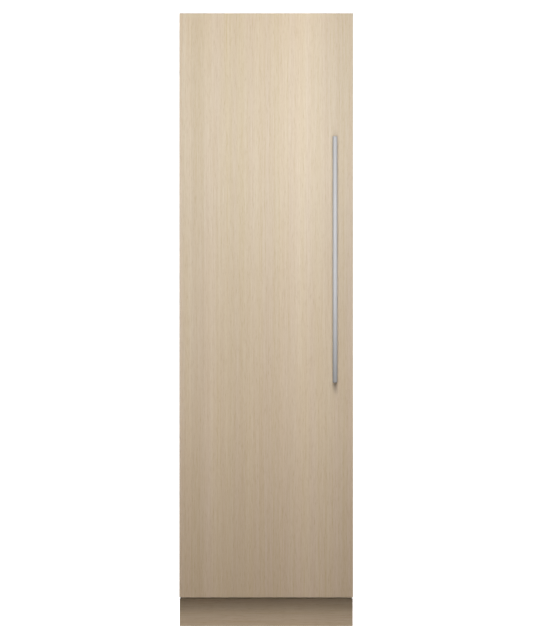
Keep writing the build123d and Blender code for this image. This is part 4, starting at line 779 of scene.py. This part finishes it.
def oak(name, along, painted_foot_shade):
    """Oak veneer whose grain runs along one axis, 0 for x and 2 for z, with its painted shade at the foot.
    """

    def stretch(across, length):
        """Waves to the metre across the grain and along it."""
        return tuple(length if axis == along else across for axis in range(3))

    veneer = Finish(name, (0.60, 0.49, 0.36), 0.5)
    leaves = veneer.noise(stretch(15, 0.25), 1.0, (3.4, 0, 0))
    tint = veneer.noise(stretch(34, 0.6), 2.0, (9.3, 0, 0))
    growth = veneer.noise(stretch(150, 1.4), 4.0, (0, 0, 0), 0.2)
    fibres = veneer.noise(stretch(620, 9), 3.0)
    pores = veneer.noise(stretch(1100, 38), 2.0)
    strips = veneer.tree.nodes.new("ShaderNodeTexVoronoi")
    strips.voronoi_dimensions = "1D"
    strips.inputs["Scale"].default_value = 19
    veneer.link(veneer.coordinate("X" if along == 2 else "Z"), strips.inputs["W"])
    base = veneer.ramp(leaves, (0.3, (0.608, 0.509, 0.381)), (0.7, (0.632, 0.535, 0.409)))
    joint = veneer.ramp(strips.outputs["Color"], (0.2, (0.956, 0.952, 0.928)), (0.8, (1.040, 1.043, 1.066)))
    hue = veneer.ramp(tint, (0.3, (1.0, 1.002, 0.945)), (0.7, (1.0, 0.989, 1.005)))
    # Real veneer is even. The falloff by height and the dark right edge copy the photo's shading, which
    # the lamps alone don't give.
    falloff = veneer.ramp(veneer.along("Z", 0.1, 2.1), (0.0, painted_foot_shade), (0.31, (1.03, 0.988, 0.96)),
                          (0.675, 0.985), (0.9, (0.992, 0.99, 0.968)), (1.0, (1.015, 0.999, 0.955)))
    painted_right_edge_shade = veneer.ramp(veneer.along("X", PANEL_LOW.x, PANEL_HIGH.x),
                             (0.68, 1.0), (0.86, 0.9), (1.0, 0.85))
    fade = veneer.ramp(veneer.along("Z", 0.7, 1.2), (0.0, 0.6), (1.0, 0.0))
    painted_right_edge_shade = veneer.mix(painted_right_edge_shade, (1.0, 1.0, 1.0), fade, "MIX")
    lines = veneer.ramp(growth, (0.3, (0.960, 0.933, 0.880)), (0.7, (1.02, 1.032, 1.057)))
    threads = veneer.ramp(fibres, (0.3, (0.938, 0.908, 0.845)), (0.7, (1.036, 1.052, 1.092)))
    dashes = veneer.ramp(pores, (0.33, (0.86, 0.81, 0.73)), (0.43, 1.0))
    colour = base
    for layer in (joint, hue, falloff, painted_right_edge_shade, lines, threads, dashes):
        colour = veneer.mix(colour, layer)
    veneer.colour(colour)
    veneer.gloss(fibres, 0.44, 0.58)
    veneer.bump(pores, 0.00025, 0.6)
    return veneer


# The last argument is the painted shade at the foot of each piece of veneer, darker on the door than on the
# toe kick.
dress(oak("door_oak_veneer", 2, (0.935, 0.867, 0.818)), "door_panel")
dress(oak("toe_kick_oak_veneer", 0, (1.03, 0.955, 0.90)), "toe_kick")

# Handle
# A round bar on two turned posts, all solid stainless brushed along its length. Its tone by height
# copies the photo's falloff of light too: a real bar is even.
handle_steel = Finish("brushed_stainless_bar", (0.42, 0.42, 0.42), 0.6, 1.0)
brush_marks = handle_steel.noise((1600, 1600, 14), 2.0)
bar_tone = handle_steel.ramp(handle_steel.along("Z", 0.85, 1.70), (0.0, 0.66), (0.13, 0.83), (0.34, 0.98),
                             (0.55, 1.0), (0.76, 0.98), (1.0, 0.89))
bar_grain = handle_steel.ramp(brush_marks, (0.3, (0.545, 0.545, 0.55)), (0.7, (0.62, 0.62, 0.625)))
handle_steel.colour(handle_steel.mix(bar_grain, bar_tone))
handle_steel.gloss(brush_marks, 0.74, 0.84)
dress(handle_steel, "handle_bar", "handle_posts")
